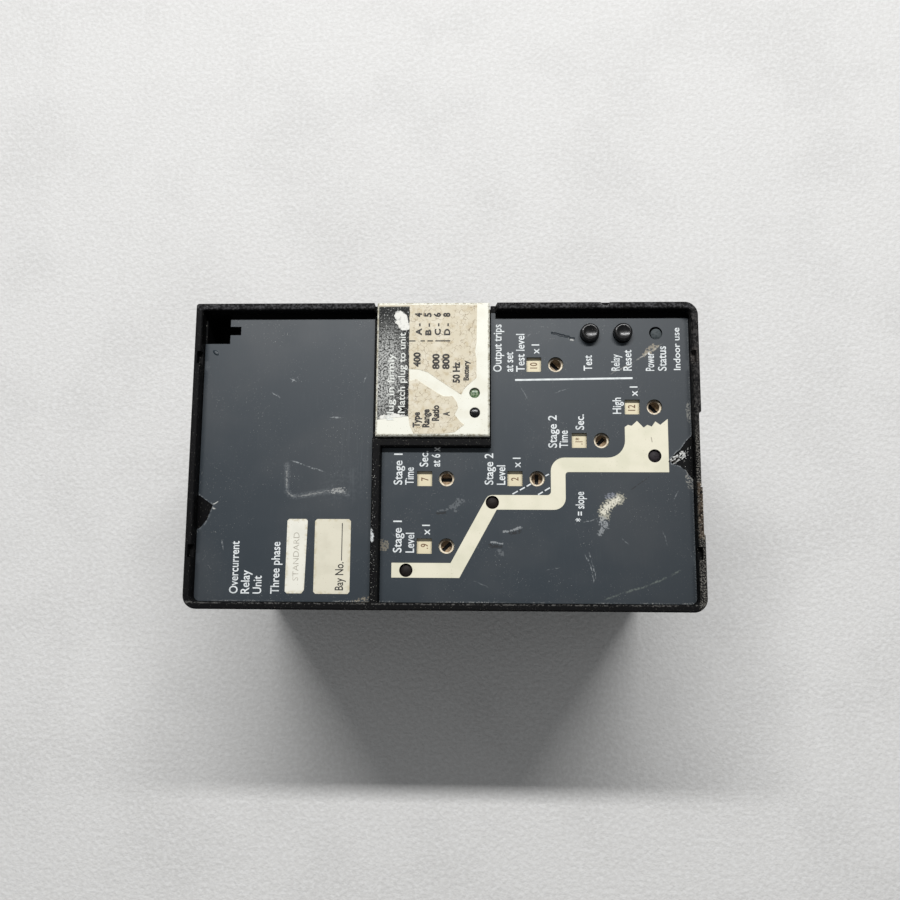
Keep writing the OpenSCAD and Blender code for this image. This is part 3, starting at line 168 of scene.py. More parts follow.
class Finish:
    """One material, whose colour, roughness and relief are laid on in coats. Sizes are millimetres."""

    def __init__(self, name, colour, roughness, metallic=0.0, specular=0.5):
        self.material = bpy.data.materials.new(name)
        self.material.use_nodes = True
        self.tree = self.material.node_tree
        self.shader = self.tree.nodes["Principled BSDF"]
        base = {"Base Color": linear(colour), "Roughness": roughness, "Metallic": metallic,
                "Specular IOR Level": specular}
        for socket, value in base.items():
            self.shader.inputs[socket].default_value = value
        coords = self.tree.nodes.new("ShaderNodeTexCoord").outputs["Object"]
        self.place = self.vector("SCALE", coords, 1 / MM)
        self.axes = self.add("ShaderNodeSeparateXYZ", {0: self.place}).outputs

    def add(self, kind, inputs, **settings):
        """Adds a node to the material."""
        return add_node(self.tree, kind, inputs, **settings)

    def vector(self, operation, first, second):
        """Result of vector arithmetic. A scale has a number as its second value."""
        inputs = {0: first, "Scale" if operation == "SCALE" else 1: second}
        return self.add("ShaderNodeVectorMath", inputs, operation=operation).outputs[0]

    def noise(self, place, size, detail):
        """Noise node with blotches of about this size."""
        return self.add("ShaderNodeTexNoise", {"Vector": place, "Scale": 1 / size, "Detail": detail})

    def grain(self, size, detail=3.0, stretch=(1, 1, 1)):
        """Noise with blotches of about this size, stretched along the axes."""
        scaled = self.add("ShaderNodeMapping", {"Vector": self.place, "Scale": stretch})
        return self.noise(scaled.outputs[0], size, detail).outputs["Fac"]

    def cracks(self, size, place=None):
        """Distance from the borders of cells of about this size."""
        cells = self.add("ShaderNodeTexVoronoi", {"Vector": place or self.place, "Scale": 1 / size},
                         feature="DISTANCE_TO_EDGE")
        return cells.outputs["Distance"]

    def step(self, value, low, high):
        """Smooth step from 0 at low to 1 at high. High may lie below low."""
        rising = high > low
        mapped = self.add("ShaderNodeMapRange", {
            "Value": value, "From Min": min(low, high), "From Max": max(low, high),
            "To Min": 0.0 if rising else 1.0, "To Max": 1.0 if rising else 0.0,
        }, interpolation_type="SMOOTHSTEP")
        return mapped.outputs["Result"]

    def ramp(self, axis, low, high):
        """Smooth step along an axis of the frame."""
        return self.step(self.axes["XYZ".index(axis)], low, high)

    def blotches(self, size, low, high, detail=3.0, stretch=(1, 1, 1)):
        """Smooth step of noise, which leaves blotches of about this size. Higher bounds leave fewer."""
        return self.step(self.grain(size, detail, stretch), low, high)

    def fold(self, operation, *values):
        """Arithmetic on masks and numbers, taken from the first to the last."""
        result = values[0]
        for value in values[1:]:
            result = self.add("ShaderNodeMath", {0: result, 1: value}, operation=operation).outputs[0]
        return result

    def times(self, *values):
        """Product of masks and numbers."""
        return self.fold("MULTIPLY", *values)

    def most(self, *values):
        """Highest of several masks."""
        return self.fold("MAXIMUM", *values)

    def outside(self, mask):
        """Mask that is 1 where the given one is 0."""
        return self.fold("SUBTRACT", 1.0, mask)

    def inside(self, axis, low, high, soft=0.3):
        """Mask that is 1 between two values of an axis."""
        rise = self.ramp(axis, low - soft, low + soft)
        return self.times(rise, self.ramp(axis, high + soft, high - soft))

    def box(self, low, high, soft=0.3):
        """Mask that is 1 inside a rectangle on the face."""
        return self.times(self.inside("X", low[0], high[0], soft), self.inside("Y", low[1], high[1], soft))

    def wander(self, amount, size):
        """Places that noise pushes about, so that marks drawn there get uneven edges."""
        push = self.vector("SUBTRACT", self.noise(self.place, size, 4.0).outputs["Color"], (0.5, 0.5, 0.5))
        return self.vector("ADD", self.place, self.vector("MULTIPLY", push, (amount, amount, 0)))

    def stroke(self, start, end, width, level=LABEL_TOP, place=None):
        """Mask of a straight mark on the face."""
        inputs = {"Place": place or self.place, "Start": (*start, level), "End": (*end, level),
                  "Width": width}
        return self.add("ShaderNodeGroup", inputs, node_tree=STROKE).outputs["Mask"]

    def trail(self, points, width, place=None):
        """Mask of a mark that runs through several points."""
        pairs = zip(points, points[1:])
        return self.most(*[self.stroke(start, end, width, place=place) for start, end in pairs])

    def patch(self, centre, size, turn=0.0, place=None):
        """Mask of a soft oval patch on the face, 1 in the middle and 0 at its edge."""
        moved = self.add("ShaderNodeMapping", {
            "Vector": place or self.place, "Location": (*centre, 0), "Rotation": (0, 0, radians(turn)),
            "Scale": (*size, ANY_HEIGHT),
        }, vector_type="TEXTURE")
        reach = self.add("ShaderNodeVectorMath", {0: moved.outputs[0]}, operation="LENGTH").outputs["Value"]
        return self.step(reach, 1.0, PATCH_CORE)

    def sliver(self, start, end, width, place):
        """Mask of a thin straight mark on the face that tapers to both ends."""
        along = Vector(end) - Vector(start)
        middle = (Vector(start) + Vector(end)) / 2
        return self.patch(middle, (along.length * 0.6, width), degrees(atan2(along.y, along.x)), place)

    def broken(self, mask, *noise):
        """The mask, broken up into blotches."""
        return self.times(mask, self.blotches(*noise))

    def frayed(self, mask, size, low, high):
        """The mask with a crisp, crumbling outline, where noise has worn it away from its edge."""
        return self.step(self.times(mask, self.grain(size, 9.0)), low, high)

    def disc(self, centre, radius):
        """Mask of a round spot on the face with a crisp edge."""
        reach = 2 * radius / (1 + PATCH_CORE)
        return self.step(self.patch(centre, (reach, reach)), 0.4, 0.6)

    def tint(self, mask, colour, share=1.0):
        """Lays a colour over the coats below where the mask is 1. A share below 1 lets them through."""
        cover = mask if share == 1.0 else self.times(mask, share)
        mix = self.add("ShaderNodeMix", {0: cover, 7: linear(colour)}, data_type="RGBA")
        self.carry("Base Color", mix, 6, 2)

    def matt(self, mask, roughness):
        """Changes the roughness where the mask is 1."""
        mix = self.add("ShaderNodeMix", {0: mask, 3: roughness}, data_type="FLOAT")
        self.carry("Roughness", mix, 2, 0)

    def carry(self, socket, mix, below, result):
        """Puts a mix node between a shader socket and what fed it."""
        target = self.shader.inputs[socket]
        if target.is_linked:
            self.tree.links.new(target.links[0].from_socket, mix.inputs[below])
        else:
            mix.inputs[below].default_value = target.default_value
        self.tree.links.new(mix.outputs[result], target)

    def relief(self, height, depth):
        """Raises the surface by a height from 0 to 1, times a depth."""
        bump = self.add("ShaderNodeBump", {"Height": height, "Distance": depth * MM, "Strength": 1.0})
        target = self.shader.inputs["Normal"]
        if target.is_linked:
            self.tree.links.new(target.links[0].from_socket, bump.inputs["Normal"])
        self.tree.links.new(bump.outputs["Normal"], target)

    def grained(self, size, depth, detail=3.0):
        """Raises a grain of about this size all over."""
        self.relief(self.grain(size, detail), depth)

    def soft_edges(self, radius):
        """Shades the sharp edges of a moulding as if they were rounded."""
        bevel = self.add("ShaderNodeBevel", {"Radius": radius * MM}, samples=4)
        self.tree.links.new(bevel.outputs["Normal"], self.shader.inputs["Normal"])

    def mottle(self, size, colour, share):
        """Lets a second colour show through in soft blotches."""
        self.tint(self.blotches(size, 0.42, 0.68), colour, share)


def plain_finish(name, colour, other, roughness, size=6.0, depth=0.02):
    """Finish of a piece with an even surface: two close colours in soft blotches and a fine grain."""
    finish = Finish(name, colour, roughness, specular=0.4)
    finish.mottle(size, other, 0.8)
    finish.matt(finish.blotches(size / 2, 0.4, 0.7), min(roughness + 0.12, 1.0))
    finish.grained(size / 12, depth)
    return finish.material


# Wear of the front moulding: stretches along Y, and the middles of single marks
BITE_STRETCH = (-33, -14)
FRACTURE_STRETCH = (-33.5, -11.5)
CRUMB_STRETCH = (-31.5, -13.5)
SCRAPE_Y = -32.6
TORN_NOTCH_Y = 39.6
NICK_FROM_END = 36.5


def black_moulding():
    """Front moulding: grained black plastic, rubbed along its rim, with a painted highlight mixed with wear
    along the inner edge of the near rim, dusty, and broken at one end.
    """
    finish = Finish("black_moulding", BLACK, 0.5, specular=0.08)
    finish.soft_edges(0.35)
    finish.mottle(5.0, (13, 13, 14), 0.7)
    rim = finish.ramp("Z", RIM_TOP - 0.7, RIM_TOP - 0.1)
    rubbed = finish.times(finish.blotches(0.5, 0.58, 0.74, 4.0), finish.blotches(7.0, 0.45, 0.65))
    finish.tint(finish.times(rim, rubbed), SCUFFED_BLACK, 0.45)
    far_rim = finish.times(rim, finish.ramp("Y", FACE_HIGH.y - 3.2, FACE_HIGH.y - 2.2))
    finish.tint(finish.broken(far_rim, 0.9, 0.42, 0.66, 4.0), (78, 78, 80), 0.7)
    # Painted highlight along the inner top edge of the near rim, broken into dashes, mixed with wear.
    near_rim_highlight_and_wear = finish.times(rim, finish.inside("Y", FACE_LOW.y + 2.2, FACE_LOW.y + 3.1, 0.25))
    finish.tint(finish.broken(near_rim_highlight_and_wear, 0.9, 0.46, 0.64), (118, 117, 114), 0.5)
    end_edge = finish.times(finish.ramp("X", FACE_HIGH.x - 3.6, FACE_HIGH.x - 2.6), rim,
                            finish.ramp("Y", 14, 6))
    finish.tint(finish.broken(end_edge, 0.5, 0.48, 0.62), (132, 129, 122), 0.7)
    bar_x = PLUG_LOW.x - 1.3
    bar_top = finish.times(finish.inside("X", bar_x - 1.9, bar_x + 1.9, 0.2),
                           finish.ramp("Z", RIM_TOP - 2.4, RIM_TOP - 1.7))
    specks = finish.blotches(0.4, 0.67, 0.72, 1.0)
    finish.tint(finish.times(bar_top, specks, finish.blotches(9.0, 0.38, 0.6)), SCUFF_WHITE, 0.8)
    bite_floor = finish.times(finish.inside("X", NAME_LOW.x - 1, NAME_LOW.x + 8),
                              finish.inside("Y", *BITE_STRETCH),
                              finish.ramp("Z", LABEL_TOP - 0.1, LABEL_TOP - 0.4))
    finish.tint(bite_floor, (3, 3, 4))
    ragged = finish.wander(2.2, 1.2)
    scrape = finish.step(finish.patch((bar_x + 0.3, SCRAPE_Y), (1.2, 3.6), 8, ragged), 0.1, 0.5)
    finish.tint(finish.broken(scrape, 0.5, 0.34, 0.5), (205, 208, 208))
    end = FACE_HIGH.x
    fracture = finish.times(
        finish.ramp("X", end - 2.9, end - 2.2), finish.inside("Y", *FRACTURE_STRETCH, 0.6),
        finish.ramp("Z", RIM_TOP - 3.4, RIM_TOP - 2.8),
    )
    finish.tint(finish.broken(fracture, 1.6, 0.36, 0.56), FRACTURE_BROWN)
    finish.tint(finish.broken(fracture, 0.7, 0.58, 0.66), FRACTURE_PALE)
    end_rim = finish.times(finish.ramp("X", end - 4.0, end - 3.0), finish.ramp("Y", 6, 12),
                           finish.ramp("Z", RIM_TOP - 5.0, RIM_TOP - 3.0))
    finish.tint(finish.broken(end_rim, 1.3, 0.46, 0.62), (66, 64, 63), 0.6)
    finish.tint(finish.broken(end_rim, 0.45, 0.6, 0.7), (124, 121, 116), 0.6)
    torn_notch = finish.patch((end - 1.4, TORN_NOTCH_Y), (2.6, 4.4), 0, ragged)
    finish.tint(finish.broken(torn_notch, 0.6, 0.4, 0.6), (72, 67, 63))
    nick = finish.patch((end - NICK_FROM_END, FACE_HIGH.y - 0.6), (4.2, 2.2), 0, ragged)
    finish.tint(finish.times(finish.broken(nick, 0.6, 0.42, 0.6), rim), (104, 104, 104))
    dust = finish.blotches(0.4, 0.72, 0.76, 1.0)
    finish.tint(finish.times(dust, finish.ramp("Z", RIM_TOP - 7, RIM_TOP - 6)), DUST, 0.5)
    finish.matt(finish.blotches(4.0, 0.45, 0.7), 0.62)
    finish.grained(0.4, 0.02)
    finish.relief(finish.times(finish.grain(1.1), fracture), 0.6)
    return finish.material


def housing_moulding():
    """Rear housing: the same black plastic with a coarser spark grain, handled but whole."""
    finish = Finish("housing_moulding", HOUSING_BLACK, 0.55, specular=0.16)
    finish.soft_edges(0.4)
    finish.mottle(14.0, (17, 17, 18), 0.5)
    rubbed = finish.blotches(2.2, 0.62, 0.76, stretch=(1, 1, 0.2))
    finish.tint(finish.broken(rubbed, 20.0, 0.45, 0.65), SCUFFED_BLACK, 0.25)
    finish.matt(finish.blotches(8.0, 0.4, 0.7), 0.66)
    finish.grained(0.6, 0.04)
    return finish.material


def slate_base(name):
    """Ground of both face labels: satin slate film with a faint streak and dust."""
    finish = Finish(name, SLATE, 0.42, specular=0.44)
    finish.mottle(34.0, (49, 55, 60), 0.9)
    finish.tint(finish.blotches(0.9, 0.55, 0.8, 4.0, (1, 0.1, 1)), PALE_SLATE, 0.08)
    specks = finish.blotches(0.3, 0.74, 0.765, 1.0)
    finish.tint(finish.broken(specks, 16.0, 0.4, 0.65), SCUFF_WHITE, 0.8)
    finish.matt(finish.blotches(12.0, 0.4, 0.7), 0.46)
    finish.grained(0.35, 0.006)
    finish.uneven = finish.wander(1.4, 1.8)
    finish.skips = finish.blotches(0.9, 0.36, 0.6)
    finish.crumble = finish.grain(0.8, 6.0)
    return finish


def scratch(finish, lines, width, share, colour=SCRATCH_GREY):
    """Draws fine, broken scratches on a face label, each through its own points."""
    pairs = [pair for points in lines for pair in zip(points, points[1:])]
    mask = finish.most(*[finish.sliver(start, end, width, finish.uneven) for start, end in pairs])
    finish.tint(finish.times(mask, finish.skips), colour, share)


def grit(finish, mask, share, colour, bare):
    """Rubs grains into a mask, thinning out from its middle. Noise below the bare level stays clean."""
    kept = finish.step(finish.times(mask, finish.crumble), bare, bare + 0.1)
    finish.tint(kept, colour, share)


def scuff(finish, centre, size, turn, share, colour, bare=0.42):
    """Rubs a grainy patch on a face label."""
    grit(finish, finish.patch(centre, size, turn), share, colour, bare)


def smear(finish, lines, share, colour, bare=0.38):
    """Rubs grainy streaks on a face label, each through its own points and of its own width."""
    mask = finish.most(*[finish.trail(points, width) for points, width in lines])
    grit(finish, mask, share, colour, bare)


def label_front_chips_and_highlight(finish, near):
    """Chips the near edge of a face label here and there; the same pale dashes are also a painted highlight
    along that edge.
    """
    edge = finish.ramp("Y", near + 0.8, near + 0.2)
    stretches = finish.broken(edge, 14.0, 0.4, 0.62)
    finish.tint(finish.broken(stretches, 0.45, 0.45, 0.68), SCUFF_WHITE, 0.55)


def inwards(points, edge):
    """Points whose first value is counted from the edge of their label."""
    return [(edge + x, y) for x, y in points]


# Marks on the name label. The bite and its tufts are counted from its left edge
BITE = ((0, -16), (0.9, -17), (3.1, -18.6), (6, -20.6), (4.9, -23.5), (3.9, -26.4), (1.5, -29.4), (0, -31))
BITE_TUFTS = (((5.6, -20.5), (8.6, -18.9)), ((5.6, -21.4), (7.6, -22.2)))
TAPE_MARK = ((-63.1, -4.4), (-62.8, -15.2), (-59.9, -17.2), (-43.9, -14.4), (-38.3, -16.0))
NAME_SCRATCHES = (
    ((-62.7, 29.4), (-59.6, 32.2)), ((-63.2, 31.3), (-60.2, 29.8)), ((-32.9, 29.4), (-31.6, 33.4)),
    ((-70.5, 25.6), (-66.5, 23.2)), ((-46.5, 15.2), (-41.0, 15.0)), ((-88.6, -34), (-87.4, -38.5)),
    ((-61.6, -2.4), (-55.5, -4.6), (-47.5, -7.2)),
)


def name_label():
    """Name label: slate film with a tape mark, a hazy smear, scratches and a frayed bite at its edge."""
    finish = slate_base("name_slate")
    soft_tape = finish.trail(TAPE_MARK, 1.7, place=finish.uneven)
    finish.tint(finish.broken(soft_tape, 0.6, 0.3, 0.7), SCRATCH_GREY, 0.3)
    scratch(finish, [TAPE_MARK], 0.5, 0.3, SCUFF_WHITE)
    scuff(finish, (-42.5, -14.6), (7.0, 2.6), 8, 0.45, SCUFF_WHITE)
    haze = finish.times(finish.patch((-40, -11.5), (14, 12), 15, finish.uneven),
                        finish.blotches(1.1, 0.4, 0.7, 6.0))
    finish.tint(haze, PALE_SLATE, 0.22)
    streaks = finish.times(finish.patch((-37, 0), (9, 26), 0, finish.uneven),
                           finish.blotches(0.8, 0.5, 0.72, 4.0, (1, 0.05, 1)))
    finish.tint(streaks, PALE_SLATE, 0.3)
    scratch(finish, NAME_SCRATCHES, 0.36, 0.7)
    # Small raised bump, lightened with a painted highlight
    bump = finish.patch((-94.0, 42.2), (1.7, 1.0), -40)
    finish.tint(bump, PALE_SLATE, 0.35)
    bite = finish.trail(inwards(BITE, NAME_LOW.x), 0.75, place=finish.uneven)
    finish.tint(finish.broken(bite, 0.5, 0.4, 0.62), SCRATCH_GREY, 0.5)
    scratch(finish, [inwards(tuft, NAME_LOW.x) for tuft in BITE_TUFTS], 0.42, 0.9, SCUFF_WHITE)
    label_front_chips_and_highlight(finish, NAME_LOW.y)
    scuff(finish, (NAME_HIGH.x, NAME_LOW.y), (14, 5), 0, 0.55, SCRAPE_BEIGE, 0.46)
    finish.relief(bump, 0.4)
    return finish.material


# Marks on the settings label. A smear has points and a width, and the scar is counted from the right edge
SCAR = ((0, 8.2), (-0.4, 7.4), (-2.3, 5.6), (-4.8, 2), (-6.4, 0.9), (-8.9, -1.9), (-8.1, -3.5), (-5, -4.4),
        (-2.7, -6), (-1.6, -8), (0, -10))
BRIGHT_SMEAR = (((69.4, -17.4), (65.7, -19.5), (63.1, -22.4), (63.4, -24.2)), 6.2)
BRIGHT_CORE = (((68.6, -17.9), (65.4, -19.9), (63.2, -22.6)), 4.4)
GREY_SMEARS = (
    (((62.6, -25.9), (63.4, -27.9)), 5.6), (((63.2, -28.2), (61.5, -31.6)), 3.0),
    (((23.9, -30.6), (27.4, -30.2), (30.6, -28.8)), 1.7), (((18.8, -34.8), (23.5, -35.3)), 1.3),
)
FAINT_SMEARS = (
    (((22.0, -38.2), (23.2, -39.6)), 3.0), (((3.0, -21.2), (7.4, -18.6)), 3.2),
    (((4.6, -22.4), (5.6, -17.8)), 2.2), (((-2.2, -22.8), (1.3, -22.0)), 1.6),
)
DARK_SMEARS = (
    (((26.2, -31.4), (30.2, -30.6)), 2.2), (((18.4, -36.2), (22.6, -36.8)), 2.6),
    (((-2.6, -23.6), (0.6, -23.1)), 1.8), (((74.0, -14.0), (81.2, -8.8)), 0.7),
)
BEIGE_SMEARS = ((((80.5, 40.8), (82.6, 43.6), (84.4, 44.6)), 2.4), (((82.8, 41.6), (86.2, 44.5)), 1.8))
ARC_SCRATCH = ((62.6, -57), (69.2, -54.7), (80.5, -51.1), (88.2, -47.8), (92.7, -45.3))
CLEAR_SCRATCHES = (
    ((54.6, -26.8), (60.4, -25.8)), ((55.6, -39.3), (57.4, -43.2), (58.4, -47), (58.9, -50.5)),
    ((57.2, -38.4), (58.2, -42), (59.8, -49)),
)
LONG_SCRATCH = ((66.7, 32.9), (76.4, 37.9), (87.8, 45.3))
FAINT_SCRATCHES = (
    ((30.5, 28), (34, 22)), ((-21, -31), (-17, -35)), ((70, -33), (73, -36)), ((12, -50), (18, -52.5)),
    ((40, -46), (46, -44.5)), ((86, -30), (88, -36)), ((33, 48), (36, 50.5)), ((93, -14), (90, -19)),
    ((76, 4), (73, -1)), ((44, 25), (50, 27)),
)
DENT = ((43.8, 50.0), (48, 48.9), (52.2, 47.6))
DENT_FLECK = ((50.2, 47.7), (52.8, 46.6))


def settings_label():
    """Settings label: slate film with scuffs, scratches, scrapes and a torn edge."""
    finish = slate_base("settings_slate")
    # Painted shade: the right end of the label is darkened, standing in for the weaker sheen there, and
    # made a little rougher
    shaded_end = finish.ramp("X", 40, 95)
    finish.tint(shaded_end, (30, 33, 36), 0.2)
    finish.matt(shaded_end, 0.47)
    smear(finish, [BRIGHT_SMEAR], 0.8, (170, 167, 150), 0.34)
    smear(finish, [BRIGHT_CORE], 0.9, (212, 208, 192))
    scuff(finish, (66.0, -16.4), (5.0, 2.6), 10, 0.6, (132, 136, 148))
    smear(finish, GREY_SMEARS, 0.65, SCRATCH_GREY)
    smear(finish, FAINT_SMEARS, 0.22, SCRATCH_GREY)
    smear(finish, DARK_SMEARS, 0.9, (20, 22, 25))
    smear(finish, BEIGE_SMEARS, 0.65, SCRAPE_BEIGE)
    scratch(finish, [ARC_SCRATCH], 0.6, 0.5, (112, 120, 112))
    scratch(finish, [LONG_SCRATCH], 0.42, 1.0, (168, 166, 158))
    scratch(finish, CLEAR_SCRATCHES, 0.34, 0.6)
    scratch(finish, FAINT_SCRATCHES, 0.28, 0.32)
    # The dent is pressed in by a bump and darkened with painted shade
    dent = finish.trail(DENT, 0.65, place=finish.uneven)
    finish.tint(dent, DENT_SHADE, 0.9)
    scratch(finish, [DENT_FLECK], 0.5, 0.8, SCUFF_WHITE)
    hole = node_centre("lamp_long_delay")
    scuff(finish, (hole.x - 9, hole.y + 9.6), (4.4, 5.0), 0, 0.45, SCRAPE_BEIGE)
    edge = SETTINGS_HIGH.x
    scar = finish.trail(inwards(SCAR, edge), 0.6, place=finish.uneven)
    finish.tint(finish.broken(scar, 0.5, 0.36, 0.6), SCRATCH_GREY, 0.6)
    scuff(finish, (edge - 1.2, -10.0), (3.6, 10.0), 12, 0.6, (150, 148, 140), 0.47)
    scuff(finish, (edge - 0.8, 17.5), (2.6, 8.5), 0, 0.6, (142, 141, 134), 0.45)
    label_front_chips_and_highlight(finish, SETTINGS_LOW.y)
    end_edge = finish.ramp("X", edge - 0.9, edge - 0.2)
    finish.tint(finish.broken(end_edge, 0.4, 0.48, 0.66), SCRATCH_GREY, 0.5)
    finish.relief(finish.times(dent, -1.0), 0.25)
    return finish.material


def cream_print():
    """Screen-printed cream of the trip curve: even, a little aged, with one short scratch."""
    finish = Finish("cream_ink", CREAM, 0.5, specular=0.4)
    finish.mottle(11.0, CREAM_AGED, 0.55)
    finish.tint(finish.blotches(0.5, 0.7, 0.76, 1.0), (176, 170, 148), 0.6)
    lamp = node_centre("lamp_instantaneous")
    short = finish.stroke((lamp.x - 1.2, lamp.y + 7.4), (lamp.x - 0.9, lamp.y + 5.6), 0.3, CURVE_TOP)
    finish.tint(short, (120, 112, 96), 0.8)
    finish.grained(0.4, 0.01)
    return finish.material


def lettering_white():
    """White screen print of the lettering."""
    finish = Finish("white_ink", LETTER_WHITE, 0.5, specular=0.4)
    finish.mottle(2.4, (176, 182, 184), 0.6)
    return finish.material


def ink_finish(name, colour):
    """Dark ink that has worn a little thin."""
    finish = Finish(name, colour, 0.6, specular=0.3)
    finish.mottle(1.6, tuple(min(255, c + 38) for c in colour), 0.7)
    return finish.material


def sticker(name, colour, low, high):
    """Printed-paper sticker, stained towards its edges."""
    finish = Finish(name, colour, 0.55, specular=0.35)
    finish.mottle(7.0, tuple(c - 10 for c in colour), 0.7)
    middle = finish.box((low.x + 0.9, low.y + 0.9), (high.x - 0.9, high.y - 0.9), 0.7)
    rim = finish.outside(middle)
    finish.tint(finish.broken(rim, 1.4, 0.42, 0.64), STICKER_STAIN, 0.7)
    finish.tint(finish.blotches(0.5, 0.72, 0.77, 1.0), (150, 140, 116), 0.5)
    finish.grained(0.5, 0.012)
    return finish.material


# Sizes that the finishes of the dials and of the green lamp follow
HUB_CUP = 4.7
CUP_DEPTH = 3.4
DISC_DROP = 0.35
LENS_MIDDLE = 2.1


def dial_plastic(node):
    """Dial: cream plastic. The far side of its hub ring has dirt and painted shade, the cup of its hub is
    stained brown and darkened with painted shade, and the sides and screwdriver slot inside the cup are
    painted dark as shade.
    """
    centre = node_centre(node).xy
    top = node_box(node)[1].z
    cup_floor = top - CUP_DEPTH
    finish = Finish(node + "_plastic", DIAL_CREAM, 0.42, specular=0.45)
    finish.mottle(3.0, (228, 210, 180), 0.7)
    disc = finish.ramp("Z", top - DISC_DROP + 0.2, top - DISC_DROP + 0.1)
    beside_hub = finish.outside(finish.disc(centre, HUB_CUP / 2 + 0.6))
    finish.tint(finish.times(disc, beside_hub), DISC_CREAM, 0.9)
    hub_face = finish.times(finish.disc(centre, HUB_CUP / 2 + 0.8), finish.ramp("Z", top - 0.3, top - 0.2))
    # Painted shade over the far side of the hub ring, mixed with blotches of dirt
    shaded_far_side = finish.ramp("Y", centre.y - 0.6, centre.y + 1.4)
    dirt_and_shade = finish.most(finish.broken(shaded_far_side, 1.0, 0.3, 0.46),
                        finish.times(finish.blotches(0.6, 0.5, 0.62), 0.6))
    finish.tint(finish.times(hub_face, dirt_and_shade), HUB_DIRT_AND_SHADE, 0.85)
    # Brown stain inside the cup, darkened as painted shade
    cup = finish.times(finish.disc(centre, HUB_CUP / 2), finish.ramp("Z", top - 0.1, top - 0.4))
    finish.tint(cup, CUP_STAIN_AND_SHADE, 0.95)
    finish.tint(finish.broken(cup, 0.7, 0.36, 0.64, 4.0), (92, 70, 48), 0.6)
    # Painted shade on the sides of the cup
    shaded_sides = finish.times(cup, finish.ramp("Z", cup_floor + 0.1, cup_floor + 0.4))
    finish.tint(shaded_sides, (46, 36, 28), 0.9)
    # Painted shade in the screwdriver slot
    slot = finish.times(cup, finish.ramp("Z", cup_floor - 0.1, cup_floor - 0.3))
    finish.tint(slot, SLOT_SHADE)
    finish.grained(0.4, 0.012)
    return finish.material


def lamp_lens(name, colour, deep):
    """Unlit lamp: a dulled, tinted lens with a darker core."""
    finish = Finish(name, colour, 0.6, specular=0.2)
    finish.mottle(0.9, deep, 0.9)
    finish.grained(0.6, 0.02)
    return finish.material


def clouded_lamp(node):
    """Green lamp of the rating plug: a lens clouded in its middle, with painted shade round its rim."""
    centre = node_centre(node)
    finish = Finish("green_lamp", (66, 100, 58), 0.3, specular=0.5)
    finish.mottle(0.9, (42, 70, 40), 0.9)
    cloud = finish.patch((centre.x + 0.2, centre.y + 0.2), (3.4, 3.4))
    finish.tint(finish.broken(cloud, 0.8, 0.4, 0.6, 4.0), (154, 164, 140), 0.7)
    # Painted shade round the rim of the lens
    lens = finish.disc((centre.x - 0.2, centre.y - 0.2), LENS_MIDDLE)
    finish.tint(finish.outside(lens), (18, 26, 14), 0.8)
    finish.grained(0.6, 0.02)
    return finish.material


def button_plastic():
    """Push buttons: glossy black, polished by use, with lint round the edge."""
    finish = Finish("button_plastic", (6, 6, 7), 0.23, specular=0.4)
    finish.mottle(2.0, (9, 9, 10), 0.8)
    finish.tint(finish.blotches(0.3, 0.74, 0.78, 1.0), DUST, 0.5)
    finish.matt(finish.blotches(1.4, 0.5, 0.7), 0.3)
    finish.grained(0.5, 0.01)
    return finish.material


def plug_plastic():
    """Rating plug: yellowed white plastic with dirt along its edges, darker lower down its sides."""
    finish = Finish("plug_plastic", PLUG_CREAM, 0.42, specular=0.45)
    finish.soft_edges(0.35)
    finish.mottle(8.0, (220, 217, 201), 0.8)
    middle = finish.box((PLUG_LOW.x + 0.7, PLUG_LOW.y + 0.8), (PLUG_HIGH.x - 0.7, PLUG_HIGH.y - 0.7), 0.5)
    rim = finish.times(finish.outside(middle), finish.ramp("Z", PLUG_HIGH.z - 1.4, PLUG_HIGH.z - 0.4))
    finish.tint(finish.broken(rim, 1.3, 0.44, 0.62), PLUG_DIRT, 0.75)
    finish.tint(finish.broken(rim, 0.6, 0.58, 0.66, 1.0), (96, 92, 70), 0.8)
    # Darker lower down its sides
    below = finish.ramp("Z", PLUG_HIGH.z - 2.0, PLUG_HIGH.z - 7.0)
    finish.tint(below, (168, 162, 144), 0.4)
    finish.tint(finish.blotches(0.5, 0.72, 0.77, 1.0), (140, 130, 104), 0.6)
    finish.grained(0.5, 0.015)
    return finish.material


